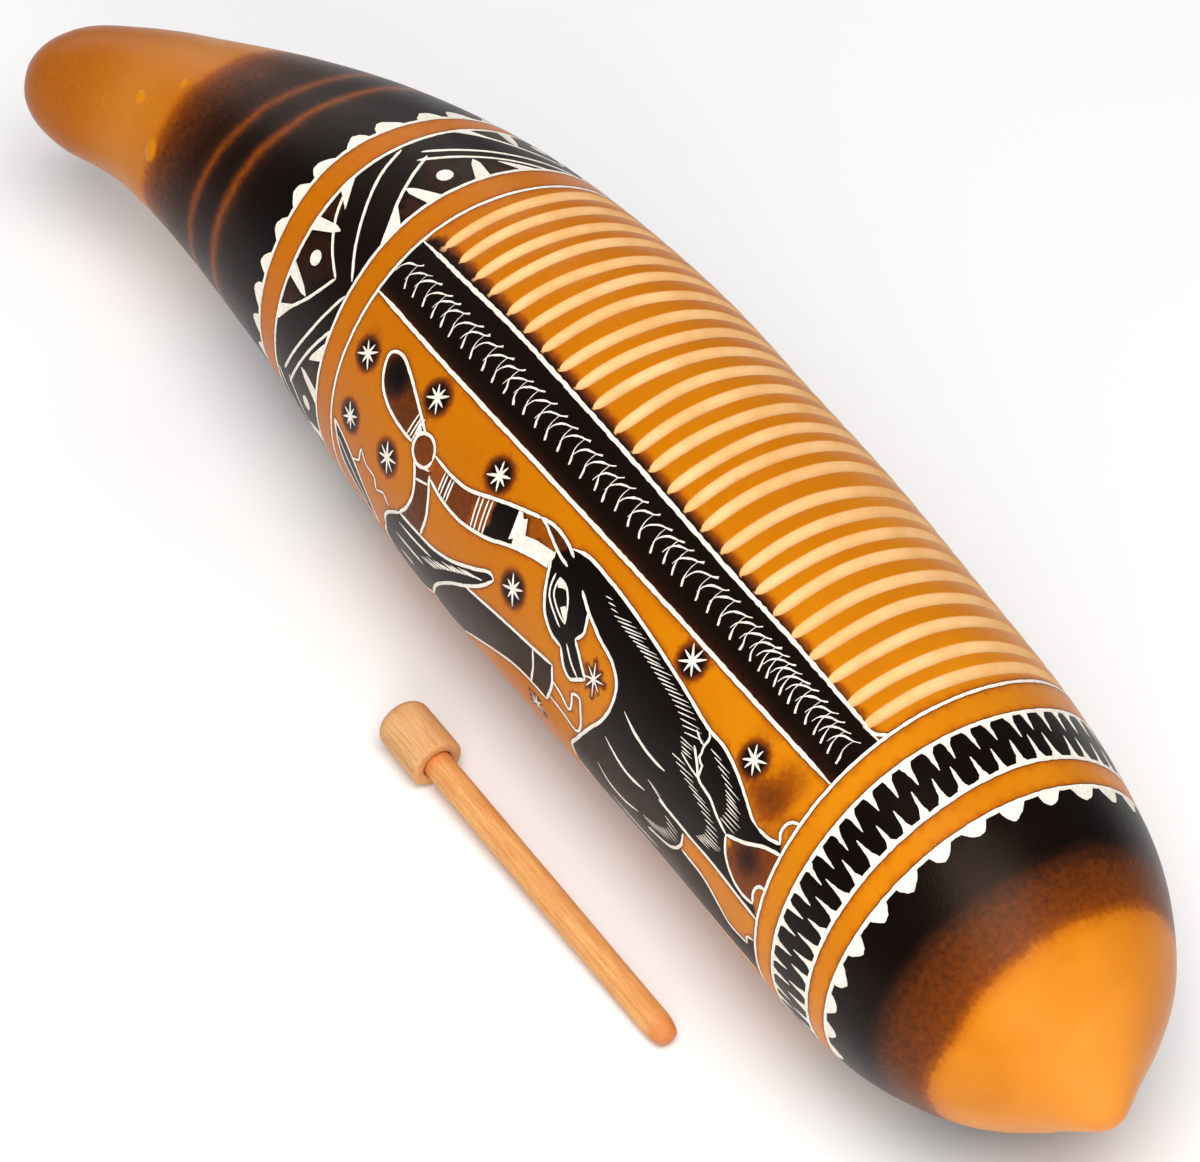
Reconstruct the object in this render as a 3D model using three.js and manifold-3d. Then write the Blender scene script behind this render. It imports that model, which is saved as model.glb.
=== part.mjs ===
// Gourd scraper (guiro) with its wooden scraping stick.
//
// The gourd is one hollow dried fruit: a round neck end, a long barrel and a blossom end with a
// small nub. A rasp of deep cross grooves is cut along its top, and two grip holes are drilled
// through the wall on the far side, where the thumb and fingers of the holding hand go in.
// The stick is a turned head with a blind bore, and a thin dowel that is glued into it.
//
// Frame: millimetres, +Z up. X runs along the gourd with the blossom end at +X. The origin is on
// the ground, at the middle of the spot that the gourd rests on.
// Angles around the gourd are measured from the top (+Z) towards -Y.

import * as THREE from 'three';
import { mergeVertices } from 'three/addons/utils/BufferGeometryUtils.js';
import Module from 'manifold-3d';

// ---- gourd ---------------------------------------------------------------------------------
const AXIS_HEIGHT = 47.0;          // height of the gourd's axis over the ground
const OUTER_AROUND = 36;           // facets around the skin
const INNER_AROUND = 24;           // facets around the hollow

// outer profile: distance along the axis, radius
const OUTER_PROFILE = [
  [-212.6, 0], [-211.6, 5.6], [-208.7, 10.8], [-203.0, 15.3], [-193.8, 18.0], [-175.4, 22.9],
  [-155.8, 28.6], [-134.2, 34.6], [-111.2, 39.5], [-87.2, 43.3], [-62.4, 46.1], [-36.0, 47.6],
  [-8.0, 47.6], [30.0, 47.0], [72.0, 45.7], [100.0, 45.0], [119.2, 43.4], [136.5, 40.0],
  [149.4, 35.0], [161.2, 28.2], [170.9, 19.0], [177.1, 11.7], [182.0, 6.8], [185.0, 3.1],
  [185.6, 0],
];

// inner profile: the wall is about 4.5 mm, and thicker at both ends
const INNER_PROFILE = [
  [-203.0, 0], [-201.6, 5.0], [-197.0, 9.4], [-189.0, 13.4], [-174.0, 18.4], [-155.0, 24.2],
  [-134.0, 30.2], [-111.0, 35.1], [-87.2, 38.8], [-62.4, 41.6], [-36.0, 43.1], [-8.0, 43.1],
  [30.0, 42.5], [72.0, 41.3], [99.0, 40.4], [117.0, 38.6], [132.0, 35.0], [144.0, 29.8],
  [154.0, 23.4], [162.0, 15.8], [167.0, 8.0], [168.5, 0],
];

// the axis lies level and curves sideways, to -Y at both ends
const NECK_BEND_FROM = -50;
const NECK_BEND = 1.5e-4;
const NECK_BEND_POWER = 2.445;
const NECK_HOOK_FROM = -180;
const NECK_HOOK = 8.2e-3;
const BLOSSOM_BEND_FROM = 20;
const BLOSSOM_BEND = 1.56e-4;
const BLOSSOM_BEND_POWER = 2.2;

// ---- rasp ----------------------------------------------------------------------------------
// where each groove meets the border strip, along the axis
const GROOVES = [
  -72.0, -65.5, -58.5, -52.2, -44.5, -37.7, -30.6, -23.2, -16.5, -9.2, -0.8, 6.4, 13.2,
  20.2, 26.6, 33.4, 41.3, 48.4, 55.0, 61.8, 69.2, 76.4, 84.0, 91.8, 98.4,
];
const GROOVE_FROM = 17.5;          // degrees, end at the near border strip
const GROOVE_TO = -78.0;           // degrees, end at the far border strip
const LEAN_NECK = -0.013;          // sideways drift for each degree, grooves at the neck end
const LEAN_BLOSSOM = -0.057;       // the same for the grooves at the blossom end
const LEAN_TURNS_FROM = -14;       // the drift changes between these two positions
const LEAN_TURNS_TO = 1;
const GROOVE_HALF_WIDTH = 2.05;
const GROOVE_DEPTH = 1.5;
const GROOVE_RISE = 0.5;           // how far the cutter's middle stands over the skin
const GROOVE_STATIONS = 5;
const GROOVE_SIDES = 6;

// ---- grip holes ----------------------------------------------------------------------------
const HOLE_ANGLE = -125;           // degrees, on the far side and low down
const HOLES = [-28, 44];           // positions along the axis
const HOLE_RADIUS = 11;
const HOLE_SIDES = 20;

// ---- stick ---------------------------------------------------------------------------------
const HEAD_RADIUS = 6.6;
const HEAD_LENGTH = 16.7;
const HEAD_BACK_ROUND = 3.6;
const HEAD_FRONT_BEVEL = 0.9;
const SHAFT_RADIUS = 3.5;
const SHAFT_REACH = 92.5;          // from the front face of the head to the tip
const SHAFT_TIP_LENGTH = 7.0;
const SHAFT_TIP_RADIUS = 1.5;
const SHAFT_IN_BORE = 10.5;
const BORE_DEPTH = 11.0;
const BORE_GAP = 0.3;              // glue line between shaft and bore
const STICK_SIDES = 28;
const STICK_BACK = [-20.1, -60.8]; // ground position of the back of the head
const STICK_HEADING = 1.3;         // degrees, from +X towards +Y
const STICK_DROP = 2.05;           // degrees, how much the stick dips to its tip
const HEAD_AXIS_HEIGHT = 7.17;     // height of the axis at the back of the head

const wasm = await Module();
wasm.setup();

const rad = THREE.MathUtils.degToRad;

// ---- helpers -------------------------------------------------------------------------------

// closed three.js geometry -> solid
function toSolid(geometry) {
  const g = geometry.clone();
  g.deleteAttribute('normal');
  g.deleteAttribute('uv');
  const merged = mergeVertices(g, 1e-4);
  const mesh = new wasm.Mesh({
    numProp: 3,
    vertProperties: new Float32Array(merged.attributes.position.array),
    triVerts: new Uint32Array(merged.index.array),
  });
  return new wasm.Manifold(mesh);
}

// solid -> three.js geometry
function toGeometry(solid) {
  const mesh = solid.getMesh();
  const g = new THREE.BufferGeometry();
  g.setAttribute('position', new THREE.BufferAttribute(new Float32Array(mesh.vertProperties), 3));
  g.setIndex(new THREE.BufferAttribute(new Uint32Array(mesh.triVerts), 1));
  g.computeVertexNormals();
  return g;
}

// smooth curve through the profile points, as points of (radius, distance along the axis)
function smoothProfile(points, stepsPerSpan) {
  const curve = new THREE.CatmullRomCurve3(
    points.map(([x, r]) => new THREE.Vector3(r, x, 0)),
    false,
    'centripetal',
  );
  const smooth = curve.getPoints((points.length - 1) * stepsPerSpan);
  const last = smooth.length - 1;
  return smooth.map((p, i) => {
    const onAxis = i === 0 || i === last;
    return new THREE.Vector2(onAxis ? 0 : Math.max(p.x, 0.2), p.y);
  });
}

function radiusAt(x) {
  const p = OUTER_CURVE;
  let i = 1;
  while (i < p.length - 1 && p[i].y < x) i += 1;
  const t = (x - p[i - 1].y) / (p[i].y - p[i - 1].y);
  return THREE.MathUtils.lerp(p[i - 1].x, p[i].x, t);
}

function axisSide(x) {
  const neck = Math.max(0, NECK_BEND_FROM - x);
  const hook = Math.max(0, NECK_HOOK_FROM - x);
  const blossom = Math.max(0, x - BLOSSOM_BEND_FROM);
  return -NECK_BEND * neck ** NECK_BEND_POWER
    - NECK_HOOK * hook ** 2
    - BLOSSOM_BEND * blossom ** BLOSSOM_BEND_POWER;
}

function axisSlope(x) {
  return (axisSide(x + 0.5) - axisSide(x - 0.5));
}

// point at distance r from the bent axis, at an angle from the top towards -Y
function aroundAxis(x, r, angle) {
  const slope = axisSlope(x);
  const length = Math.hypot(1, slope);
  const out = r * Math.sin(angle);
  return new THREE.Vector3(
    x + out * slope / length,
    axisSide(x) - out / length,
    AXIS_HEIGHT + r * Math.cos(angle),
  );
}

// a turned solid about Y, bent so that its Y axis follows the gourd's axis
function bentTurning(points, around) {
  const g = new THREE.LatheGeometry(points, around);
  const pos = g.attributes.position;
  for (let i = 0; i < pos.count; i += 1) {
    const r = Math.hypot(pos.getX(i), pos.getZ(i));
    const angle = Math.atan2(pos.getX(i), pos.getZ(i));
    const p = aroundAxis(pos.getY(i), r, angle);
    pos.setXYZ(i, p.x, p.y, p.z);
  }
  return g;
}

// a spindle laid across the skin of the gourd, as the cutter of one groove
function grooveCutter(x, lean) {
  const profile = [new THREE.Vector2(0, -0.5)];
  for (let i = 0; i <= GROOVE_STATIONS; i += 1) {
    const t = i / GROOVE_STATIONS - 0.5;
    const swell = 0.55 + 0.45 * Math.cos(Math.PI * t * 0.9);
    profile.push(new THREE.Vector2(swell, t));
  }
  profile.push(new THREE.Vector2(0, 0.5));
  const g = new THREE.LatheGeometry(profile, GROOVE_SIDES);
  const pos = g.attributes.position;
  const middle = (GROOVE_FROM + GROOVE_TO) / 2;
  for (let i = 0; i < pos.count; i += 1) {
    const angle = middle + pos.getY(i) * (GROOVE_TO - GROOVE_FROM);
    const side = pos.getX(i) * GROOVE_HALF_WIDTH;
    const rise = GROOVE_RISE + pos.getZ(i) * (GROOVE_DEPTH + GROOVE_RISE);
    const along = x + lean * (GROOVE_FROM - angle) + side;
    const p = aroundAxis(along, radiusAt(along) + rise, rad(angle));
    pos.setXYZ(i, p.x, p.y, p.z);
  }
  return g;
}

// ---- gourd shell ---------------------------------------------------------------------------
const OUTER_CURVE = smoothProfile(OUTER_PROFILE, 2);
const INNER_CURVE = smoothProfile(INNER_PROFILE, 1);

let shell = toSolid(bentTurning(OUTER_CURVE, OUTER_AROUND));
shell = shell.subtract(toSolid(bentTurning(INNER_CURVE, INNER_AROUND)));

// the rubbed resting spot
const below = new THREE.BoxGeometry(500, 200, 20);
below.translate(0, 0, -10);
shell = shell.subtract(toSolid(below));

// rasp grooves
for (const x of GROOVES) {
  const share = THREE.MathUtils.smoothstep(x, LEAN_TURNS_FROM, LEAN_TURNS_TO);
  const lean = THREE.MathUtils.lerp(LEAN_NECK, LEAN_BLOSSOM, share);
  shell = shell.subtract(toSolid(grooveCutter(x, lean)));
}

// grip holes, square to the skin
for (const x of HOLES) {
  const drill = new THREE.CylinderGeometry(HOLE_RADIUS, HOLE_RADIUS, 24, HOLE_SIDES);
  const middle = aroundAxis(x, radiusAt(x), rad(HOLE_ANGLE));
  const inward = aroundAxis(x, 0, 0).sub(middle).normalize();
  drill.applyQuaternion(new THREE.Quaternion().setFromUnitVectors(
    new THREE.Vector3(0, 1, 0),
    inward,
  ));
  drill.translate(middle.x, middle.y, middle.z);
  shell = shell.subtract(toSolid(drill));
}

// ---- scraper head --------------------------------------------------------------------------
// turned about its own axis, front face at 0 and back at -HEAD_LENGTH
const headProfile = [new THREE.Vector2(0, -HEAD_LENGTH)];
for (let i = 0; i <= 5; i += 1) {
  const a = rad(90 * i / 5);
  headProfile.push(new THREE.Vector2(
    HEAD_RADIUS - HEAD_BACK_ROUND * (1 - Math.sin(a)),
    -HEAD_LENGTH + HEAD_BACK_ROUND * (1 - Math.cos(a)) * 0.8,
  ));
}
headProfile.push(new THREE.Vector2(HEAD_RADIUS, -HEAD_FRONT_BEVEL));
headProfile.push(new THREE.Vector2(HEAD_RADIUS - HEAD_FRONT_BEVEL, 0));
headProfile.push(new THREE.Vector2(SHAFT_RADIUS + BORE_GAP, 0));
headProfile.push(new THREE.Vector2(SHAFT_RADIUS + BORE_GAP, -BORE_DEPTH));
headProfile.push(new THREE.Vector2(0, -BORE_DEPTH));
const headGeometry = new THREE.LatheGeometry(headProfile, STICK_SIDES);

// ---- scraper shaft -------------------------------------------------------------------------
const tipStart = SHAFT_REACH - SHAFT_TIP_LENGTH;
const shaftProfile = [
  new THREE.Vector2(0, -SHAFT_IN_BORE),
  new THREE.Vector2(SHAFT_RADIUS, -SHAFT_IN_BORE),
  new THREE.Vector2(SHAFT_RADIUS, tipStart),
];
for (let i = 1; i <= 5; i += 1) {
  const t = i / 5;
  shaftProfile.push(new THREE.Vector2(
    SHAFT_TIP_RADIUS + (SHAFT_RADIUS - SHAFT_TIP_RADIUS) * Math.sqrt(1 - t ** 2.2),
    tipStart + SHAFT_TIP_LENGTH * t,
  ));
}
shaftProfile.push(new THREE.Vector2(0, SHAFT_REACH));
const shaftGeometry = new THREE.LatheGeometry(shaftProfile, STICK_SIDES);

// ---- scene graph ---------------------------------------------------------------------------
const gourdSkin = new THREE.MeshStandardMaterial({ color: 0xb8761c, roughness: 0.42, metalness: 0 });
const paleWood = new THREE.MeshStandardMaterial({ color: 0xe3a566, roughness: 0.62, metalness: 0 });

const group = new THREE.Group();

const gourdShell = new THREE.Mesh(toGeometry(shell), gourdSkin);
gourdShell.name = 'gourd_shell';
group.add(gourdShell);

// the stick's own +Y runs from head to tip
const stick = new THREE.Group();
const heading = new THREE.Vector3(
  Math.cos(rad(STICK_HEADING)) * Math.cos(rad(STICK_DROP)),
  Math.sin(rad(STICK_HEADING)) * Math.cos(rad(STICK_DROP)),
  -Math.sin(rad(STICK_DROP)),
);
stick.quaternion.setFromUnitVectors(new THREE.Vector3(0, 1, 0), heading);
stick.position.set(STICK_BACK[0], STICK_BACK[1], HEAD_AXIS_HEIGHT);
stick.position.addScaledVector(heading, HEAD_LENGTH);

const scraperHead = new THREE.Mesh(headGeometry, paleWood);
scraperHead.name = 'scraper_head';
stick.add(scraperHead);

const scraperShaft = new THREE.Mesh(shaftGeometry, paleWood);
scraperShaft.name = 'scraper_shaft';
stick.add(scraperShaft);

group.add(stick);

export default group;
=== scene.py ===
"""A fire-engraved gourd scraper with its wooden stick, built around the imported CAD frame.

The gourd's skin is one mesh. It is laid out on a chart, where across is the distance along the
gourd in mm and up is the angle around it from the top towards -Y. The engraving is drawn on the
chart, the chart is triangulated with every cut line as real edges, and then it is wrapped
around the bent axis of the gourd, with the cut lines and the rasp sunk into the skin.
"""
import math

import bpy
import numpy as np
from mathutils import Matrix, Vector
from mathutils.geometry import delaunay_2d_cdt
from mathutils.kdtree import KDTree


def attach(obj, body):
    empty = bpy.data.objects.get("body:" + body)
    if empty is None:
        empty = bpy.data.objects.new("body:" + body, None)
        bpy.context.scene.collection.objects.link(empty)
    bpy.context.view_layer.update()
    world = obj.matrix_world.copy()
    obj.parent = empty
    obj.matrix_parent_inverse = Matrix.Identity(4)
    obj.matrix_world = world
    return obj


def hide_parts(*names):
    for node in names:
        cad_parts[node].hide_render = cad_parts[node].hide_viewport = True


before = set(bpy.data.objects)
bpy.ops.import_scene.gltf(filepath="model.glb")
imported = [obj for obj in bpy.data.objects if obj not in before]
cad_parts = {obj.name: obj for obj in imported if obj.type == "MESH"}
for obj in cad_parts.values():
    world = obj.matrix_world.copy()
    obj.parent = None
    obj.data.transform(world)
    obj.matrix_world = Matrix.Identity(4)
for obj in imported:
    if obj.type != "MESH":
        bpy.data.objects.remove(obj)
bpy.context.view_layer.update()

MM = 0.001
rng = np.random.default_rng(11)

# ---- the gourd's shape (mm), as in the CAD ----------------------------------------------------
AXIS_HEIGHT = 47.0
OUTER_PROFILE = [
    (-212.6, 0), (-211.6, 5.6), (-208.7, 10.8), (-203.0, 15.3), (-193.8, 18.0), (-175.4, 22.9),
    (-155.8, 28.6), (-134.2, 34.6), (-111.2, 39.5), (-87.2, 43.3), (-62.4, 46.1), (-36.0, 47.6),
    (-8.0, 47.6), (30.0, 47.0), (72.0, 45.7), (100.0, 45.0), (119.2, 43.4), (136.5, 40.0),
    (149.4, 35.0), (161.2, 28.2), (170.9, 19.0), (177.1, 11.7), (182.0, 6.8), (185.0, 3.1),
    (185.6, 0),
]
INNER_PROFILE = [
    (-203.0, 0), (-201.6, 5.0), (-197.0, 9.4), (-189.0, 13.4), (-174.0, 18.4), (-155.0, 24.2),
    (-134.0, 30.2), (-111.0, 35.1), (-87.2, 38.8), (-62.4, 41.6), (-36.0, 43.1), (-8.0, 43.1),
    (30.0, 42.5), (72.0, 41.3), (99.0, 40.4), (117.0, 38.6), (132.0, 35.0), (144.0, 29.8),
    (154.0, 23.4), (162.0, 15.8), (167.0, 8.0), (168.5, 0),
]
GROOVES = [
    -72.0, -65.5, -58.5, -52.2, -44.5, -37.7, -30.6, -23.2, -16.5, -9.2, -0.8, 6.4, 13.2,
    20.2, 26.6, 33.4, 41.3, 48.4, 55.0, 61.8, 69.2, 76.4, 84.0, 91.8, 98.4,
]
GROOVE_FROM = 17.5
GROOVE_TO = -78.0
GROOVE_HALF = 1.72
GROOVE_DEPTH = 1.35
LEAN_NECK, LEAN_BLOSSOM = -0.013, -0.057
LEAN_TURNS = (-14.0, 1.0)
HOLE_ANGLE = -125.0
HOLES = (-28.0, 44.0)
HOLE_RADIUS = 11.0
HOLE_RIM = 0.6              # how far the bare rim of a hole reaches onto the skin
HOLE_SCORCH = 2.6           # how far the skin is scorched around a hole
HOLE_OUT, HOLE_IN = 47.4, 42.8      # distances of the skin and of the inner wall from the axis there

GOURD_FROM, GOURD_TO = -216.0, 186.0    # a little past both ends
SHARE_SCALE = 400           # a place in mm over this, plus a half, is the value "along"

# ---- the chart ---------------------------------------------------------------------------------
VS = 0.8                    # chart mm for one degree
SEAM = 180 * VS
MARK_LIMIT = 177            # the largest angle of a mark, so that none lies across the seam
CHART_FROM, CHART_TO = -207.0, 181.0
AROUND = 72                 # points around at both ends of the chart
SCORCH = 0.34               # width of the burnt edge along a cut
CUT_DEPTH = 0.2
CUT_SLOPE = 0.42            # how far in from its edge a cut reaches that depth
PLAIN, CUT, HOLE = 0, 1, 2
SKIN_SLOT, CUT_SLOT, RIND_SLOT = 0, 1, 2
ALONG = np.array((1.0, 0.0))        # the chart direction along the gourd
CODE_STEP = 10 ** 6         # more than a mesh has points
FINE_FROM, FINE_TO = -122, 138      # the engraved stretch, which gets smaller triangles
FINE_TOP, FINE_LOW = 36, 118        # the angles of the panel with the bird, finer still
BLACK_FROM, BLACK_TO = -125, 138    # how far the black outside the scallops is drawn in the mesh

# where each ring lies along the gourd, at every 40 degrees from -60
RING_FROM, RING_STEP = -60.0, 40.0
RINGS = {
    "neck_edge": (-160, -163, -168, -170, -172, -171, -168, -163, -160),
    "glow_1": (-138, -140, -147, -151, -151, -149, -145, -140, -137),
    "glow_2": (-127, -130, -136, -139.5, -139.5, -137, -133, -129, -126),
    "scallop_1": (-106, -112, -117.5, -116.8, -115.2, -112, -108, -105, -104),
    "braid_1": (-99.5, -105, -109, -108, -106.5, -104, -100.5, -98, -97.5),
    "braid_2": (-82, -85, -86.8, -84.2, -82, -80, -78, -78, -80),
    "panel_1": (-75.6, -77, -78.5, -76.2, -73, -71, -70, -71.5, -74.6),
    "panel_2": (97, 101, 104, 106.8, 108, 107, 104, 100, 97),
    "teeth_1": (106, 109.3, 111.5, 114, 114.3, 112.5, 110, 107, 105),
    "teeth_2": (120.5, 122, 124.8, 126.6, 126.5, 125, 122.5, 120.5, 119.5),
    "scallop_2": (127.5, 129.7, 131.8, 133.3, 132.8, 131, 129, 127, 126.5),
    "brown_1": (141, 144, 145, 146.3, 147, 146, 144, 142, 141),
    "brown_2": (153, 155, 157.5, 160, 158, 157, 155, 153, 152),
}
SPIKES = 54
SCALLOPS_NECK, SCALLOPS_BLOSSOM = 27, 28
# drops of varnish on the neck: place along, angle, half length, half height in mm, thickness
DROPS = [(-182, 37, 1.9, 2.3, 0.5), (-172.3, 62, 2.0, 3.6, 0.6), (-172.6, 18.5, 1.1, 1.6, 0.3)]
NECK_DEGREE = 0.45          # mm of one degree around the neck

verts, faces, tags = [], [], []      # the drawing, as chart polygons
fills = []                           # (closed outline on the chart, burn 0 to 1)
halos = []                           # (x, v, radius, burn) soft burnt spots


def spline(points, steps=12):
    """Centripetal Catmull-Rom curve through points."""
    p = np.array(points, float)
    q = np.vstack([2 * p[0] - p[1], p, 2 * p[-1] - p[-2]])
    out = []
    for i in range(1, len(q) - 2):
        p0, p1, p2, p3 = q[i - 1:i + 3]
        t1 = max(np.linalg.norm(p1 - p0), 1e-9) ** 0.5
        t2 = t1 + max(np.linalg.norm(p2 - p1), 1e-9) ** 0.5
        t3 = t2 + max(np.linalg.norm(p3 - p2), 1e-9) ** 0.5
        for t in np.linspace(t1, t2, steps, endpoint=False):
            a1 = (t1 - t) / t1 * p0 + t / t1 * p1
            a2 = (t2 - t) / (t2 - t1) * p1 + (t - t1) / (t2 - t1) * p2
            a3 = (t3 - t) / (t3 - t2) * p2 + (t - t2) / (t3 - t2) * p3
            b1 = (t2 - t) / t2 * a1 + t / t2 * a2
            b2 = (t3 - t) / (t3 - t1) * a2 + (t - t1) / (t3 - t1) * a3
            out.append((t2 - t) / (t2 - t1) * b1 + (t - t1) / (t2 - t1) * b2)
    out.append(q[-2])
    return np.array(out)


OUTER = spline(OUTER_PROFILE)
INNER = spline(INNER_PROFILE)


def axis_side(x):
    """How far the bent axis lies to the side, in mm."""
    x = np.asarray(x, float)
    return (-1.5e-4 * np.maximum(0, -x - 50) ** 2.445 - 8.2e-3 * np.maximum(0, -x - 180) ** 2
            - 1.56e-4 * np.maximum(0, x - 20) ** 2.2)


def wrap(x, degrees, r):
    """The point at distance r from the bent axis, in mm."""
    x = np.asarray(x, float)
    angle = np.radians(degrees)
    slope = axis_side(x + 0.5) - axis_side(x - 0.5)
    length = np.hypot(1, slope)
    out = r * np.sin(angle)
    z = np.maximum(AXIS_HEIGHT + r * np.cos(angle), 0)
    return np.stack([x + out * slope / length, axis_side(x) - out / length, z], -1)


def uneven(x, degrees):
    """The slow swells of a grown gourd, in mm."""
    a = np.radians(degrees)
    return (0.16 * np.sin(x / 19 + 1.3) * np.cos(2 * a + 0.4)
            + 0.12 * np.sin(x / 9.5 + 2 * a + 1.1)
            + 0.10 * np.sin(x / 31 + 3 * a + 4.0)) * np.clip((OUTER[-1, 0] - x) / 40, 0, 1)


def outer_radius(x, degrees):
    return np.interp(x, OUTER[:, 0], OUTER[:, 1]) + uneven(x, degrees)


def inner_radius(x, degrees):
    return np.interp(x, INNER[:, 0], INNER[:, 1])


def ring(name, degrees):
    """Where a ring lies along the gourd at an angle."""
    row = np.array(RINGS[name], float)
    u = (np.asarray(degrees, float) - RING_FROM) / RING_STEP
    i = np.floor(u).astype(int)
    t = u - i
    p0, p1, p2, p3 = (row[(i + k) % len(row)] for k in (-1, 0, 1, 2))
    return p1 + 0.5 * t * (p2 - p0 + t * (2 * p0 - 5 * p1 + 4 * p2 - p3
                                          + t * (3 * (p1 - p2) + p3 - p0)))


def rings_at(angle):
    return {name: ring(name, angle) for name in RINGS}


def smoothstep(a, b, x):
    t = np.clip((np.asarray(x, float) - a) / (b - a), 0, 1)
    return t * t * (3 - 2 * t)


def home(angle):
    """An angle brought back to the turn of the chart."""
    return (angle + 180) % 360 - 180


def edges_of(tri):
    """The three sides of every triangle, each as a sorted pair of points."""
    return np.sort(np.vstack([tri[:, [0, 1]], tri[:, [1, 2]], tri[:, [2, 0]]]), axis=1)


def code_of(pairs):
    """One whole number for each edge."""
    return pairs @ np.array([CODE_STEP, 1])


def where_kinds_meet(tri, kind):
    """The edges between two triangles of different kinds."""
    pairs = edges_of(tri)
    code = code_of(pairs)
    order = np.argsort(code, kind="stable")
    code, kinds = code[order], np.tile(kind, 3)[order]
    return pairs[order[:-1][(code[1:] == code[:-1]) & (kinds[1:] != kinds[:-1])]]


def compact(tri, *rows):
    """Triangles and the rows of their points, without the points that no triangle uses."""
    used = np.unique(tri)
    renumber = np.full(len(rows[0]), -1)
    renumber[used] = np.arange(len(used))
    return renumber[tri], *(row[used] for row in rows)


def tree_of(points):
    """A search tree of chart points or of points in space."""
    tree = KDTree(len(points))
    for i, p in enumerate(points):
        tree.insert((*p, 0)[:3], i)
    tree.balance()
    return tree


def nearest(points, others):
    """How far each chart point is from the nearest of the others."""
    tree = tree_of(others)
    return np.array([tree.find((x, y, 0))[2] for x, y in points])


# ---- drawing on the chart ----------------------------------------------------------------------
def chart(points):
    """Places given as mm along and degrees around, as chart points."""
    return np.array(points, float).reshape(-1, 2) * (1, VS)


def even(p, step=None, count=None):
    """Points at even steps along a line."""
    s = np.r_[0, np.cumsum(np.linalg.norm(np.diff(p, axis=0), axis=1))]
    t = np.linspace(0, s[-1], count or max(2, int(round(s[-1] / step)) + 1))
    return np.stack([np.interp(t, s, p[:, 0]), np.interp(t, s, p[:, 1])], 1)


def lanes(p, offsets, side, kinds):
    """Strips of quads beside a line: offsets is one array for each lane edge."""
    base = len(verts)
    n = len(p)
    for off in offsets:
        verts.extend(map(tuple, p + side * np.asarray(off)[:, None]))
    for k, kind in enumerate(kinds):
        a = base + k * n
        for i in range(n - 1):
            faces.append((a + i, a + i + 1, a + n + i + 1, a + n + i))
            tags.append(kind)


def cut_lanes(p, left, right, side):
    """A cut with a thin burnt lane on either side."""
    lanes(p, [-left - SCORCH, -left, 0 * left, right, right + SCORCH], side,
          (PLAIN, CUT, CUT, PLAIN))


def gouge(p, width, taper=(0.35, 1, 1, 0.35), at=(0, 0.04, 0.96, 1), rag=0.13, edge=True):
    """One cut line along chart points, ragged as a graver leaves it."""
    n = len(p)
    d = np.gradient(p, axis=0)
    d /= np.maximum(np.linalg.norm(d, axis=1), 1e-9)[:, None]
    side = np.stack([-d[:, 1], d[:, 0]], 1)
    shape = np.interp(np.linspace(0, 1, n), at, taper) * width / 2
    left = shape * (1 + rag * rng.uniform(-1, 1, n))
    right = shape * (1 + rag * rng.uniform(-1, 1, n))
    if edge:
        cut_lanes(p, left, right, side)
    else:
        lanes(p, [-left, 0 * left, right], side, (CUT, CUT))


def smooth_run(points):
    """Chart points through places, on a curve when there are more than two."""
    p = chart(points)
    return spline(p) if len(p) > 2 else p


def line(points, width=0.85, step=1.1, smooth=True, **more):
    """A cut line through places."""
    gouge(even(smooth_run(points) if smooth else chart(points), step), width, **more)


def patch(p):
    """A filled chart polygon, as a fan around its middle, so that a cut is deepest there."""
    p = np.asarray(p, float)
    base = len(verts)
    verts.extend(map(tuple, p))
    verts.append(tuple(p.mean(0)))
    n = len(p)
    for i in range(n):
        faces.append((base + i, base + (i + 1) % n, base + n))
        tags.append(CUT)


def stain(points, burn):
    """A burnt shape with no cut around it."""
    fills.append((chart(points), burn))


def figure(runs, burn, width=0.85, cut=None):
    """A burnt shape whose outline is a list of runs, smooth within a run and sharp between.
    cut says which runs are gouged; all of them by default."""
    whole = []
    for k, run in enumerate(runs):
        p = smooth_run(run)
        whole.append(p)
        if cut is None or k in cut:
            gouge(even(p, 1.1), width)
    fills.append((np.vstack(whole), burn))


def dots(x, v, rx, rv, shares, count):
    """Points in rings around a place, so that a soft spot or a drop comes out round."""
    for share in shares:
        for k in range(count if share else 1):
            a = k * math.tau / count + share
            verts.append((x + share * rx * math.cos(a), v + share * rv * math.sin(a)))


HALO_RINGS = (0.45, 0.7, 0.9, 1.1, 1.3)


def star(x, degrees, size=3.8, halo=5.0, width=0.72):
    """Eight short cuts from a middle, in a burnt spot."""
    v = degrees * VS
    turn = rng.uniform(0, 0.5)
    for k in range(8):
        a = turn + k * math.pi / 4 + rng.uniform(-0.1, 0.1)
        r = size * rng.uniform(0.82, 1.08) * (1 if k % 2 else 0.86)
        tip = np.array([x + r * math.cos(a), v + r * math.sin(a)])
        gouge(even(np.array([[x, v], tip]), 0.9), width, taper=(0.9, 1, 0.75, 0.2),
              at=(0, 0.3, 0.7, 1), edge=False)
    if halo:
        halos.append((x, v, halo, 1.0))
        dots(x, v, halo, halo, HALO_RINGS, 14)


def hatch(path, length, lean, gap=1.25, width=0.42, spread=5):
    """Short parallel cuts that start along a path, each turned by lean degrees."""
    for q in even(smooth_run(path), gap):
        a = math.radians(lean + rng.uniform(-spread, spread))
        r = length * rng.uniform(0.75, 1.1)
        end = q + (r * math.cos(a), r * math.sin(a))
        gouge(even(np.array([q, end]), 1.3), width, taper=(0.5, 1, 0.6, 0.15),
              at=(0, 0.3, 0.7, 1), edge=False)


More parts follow.
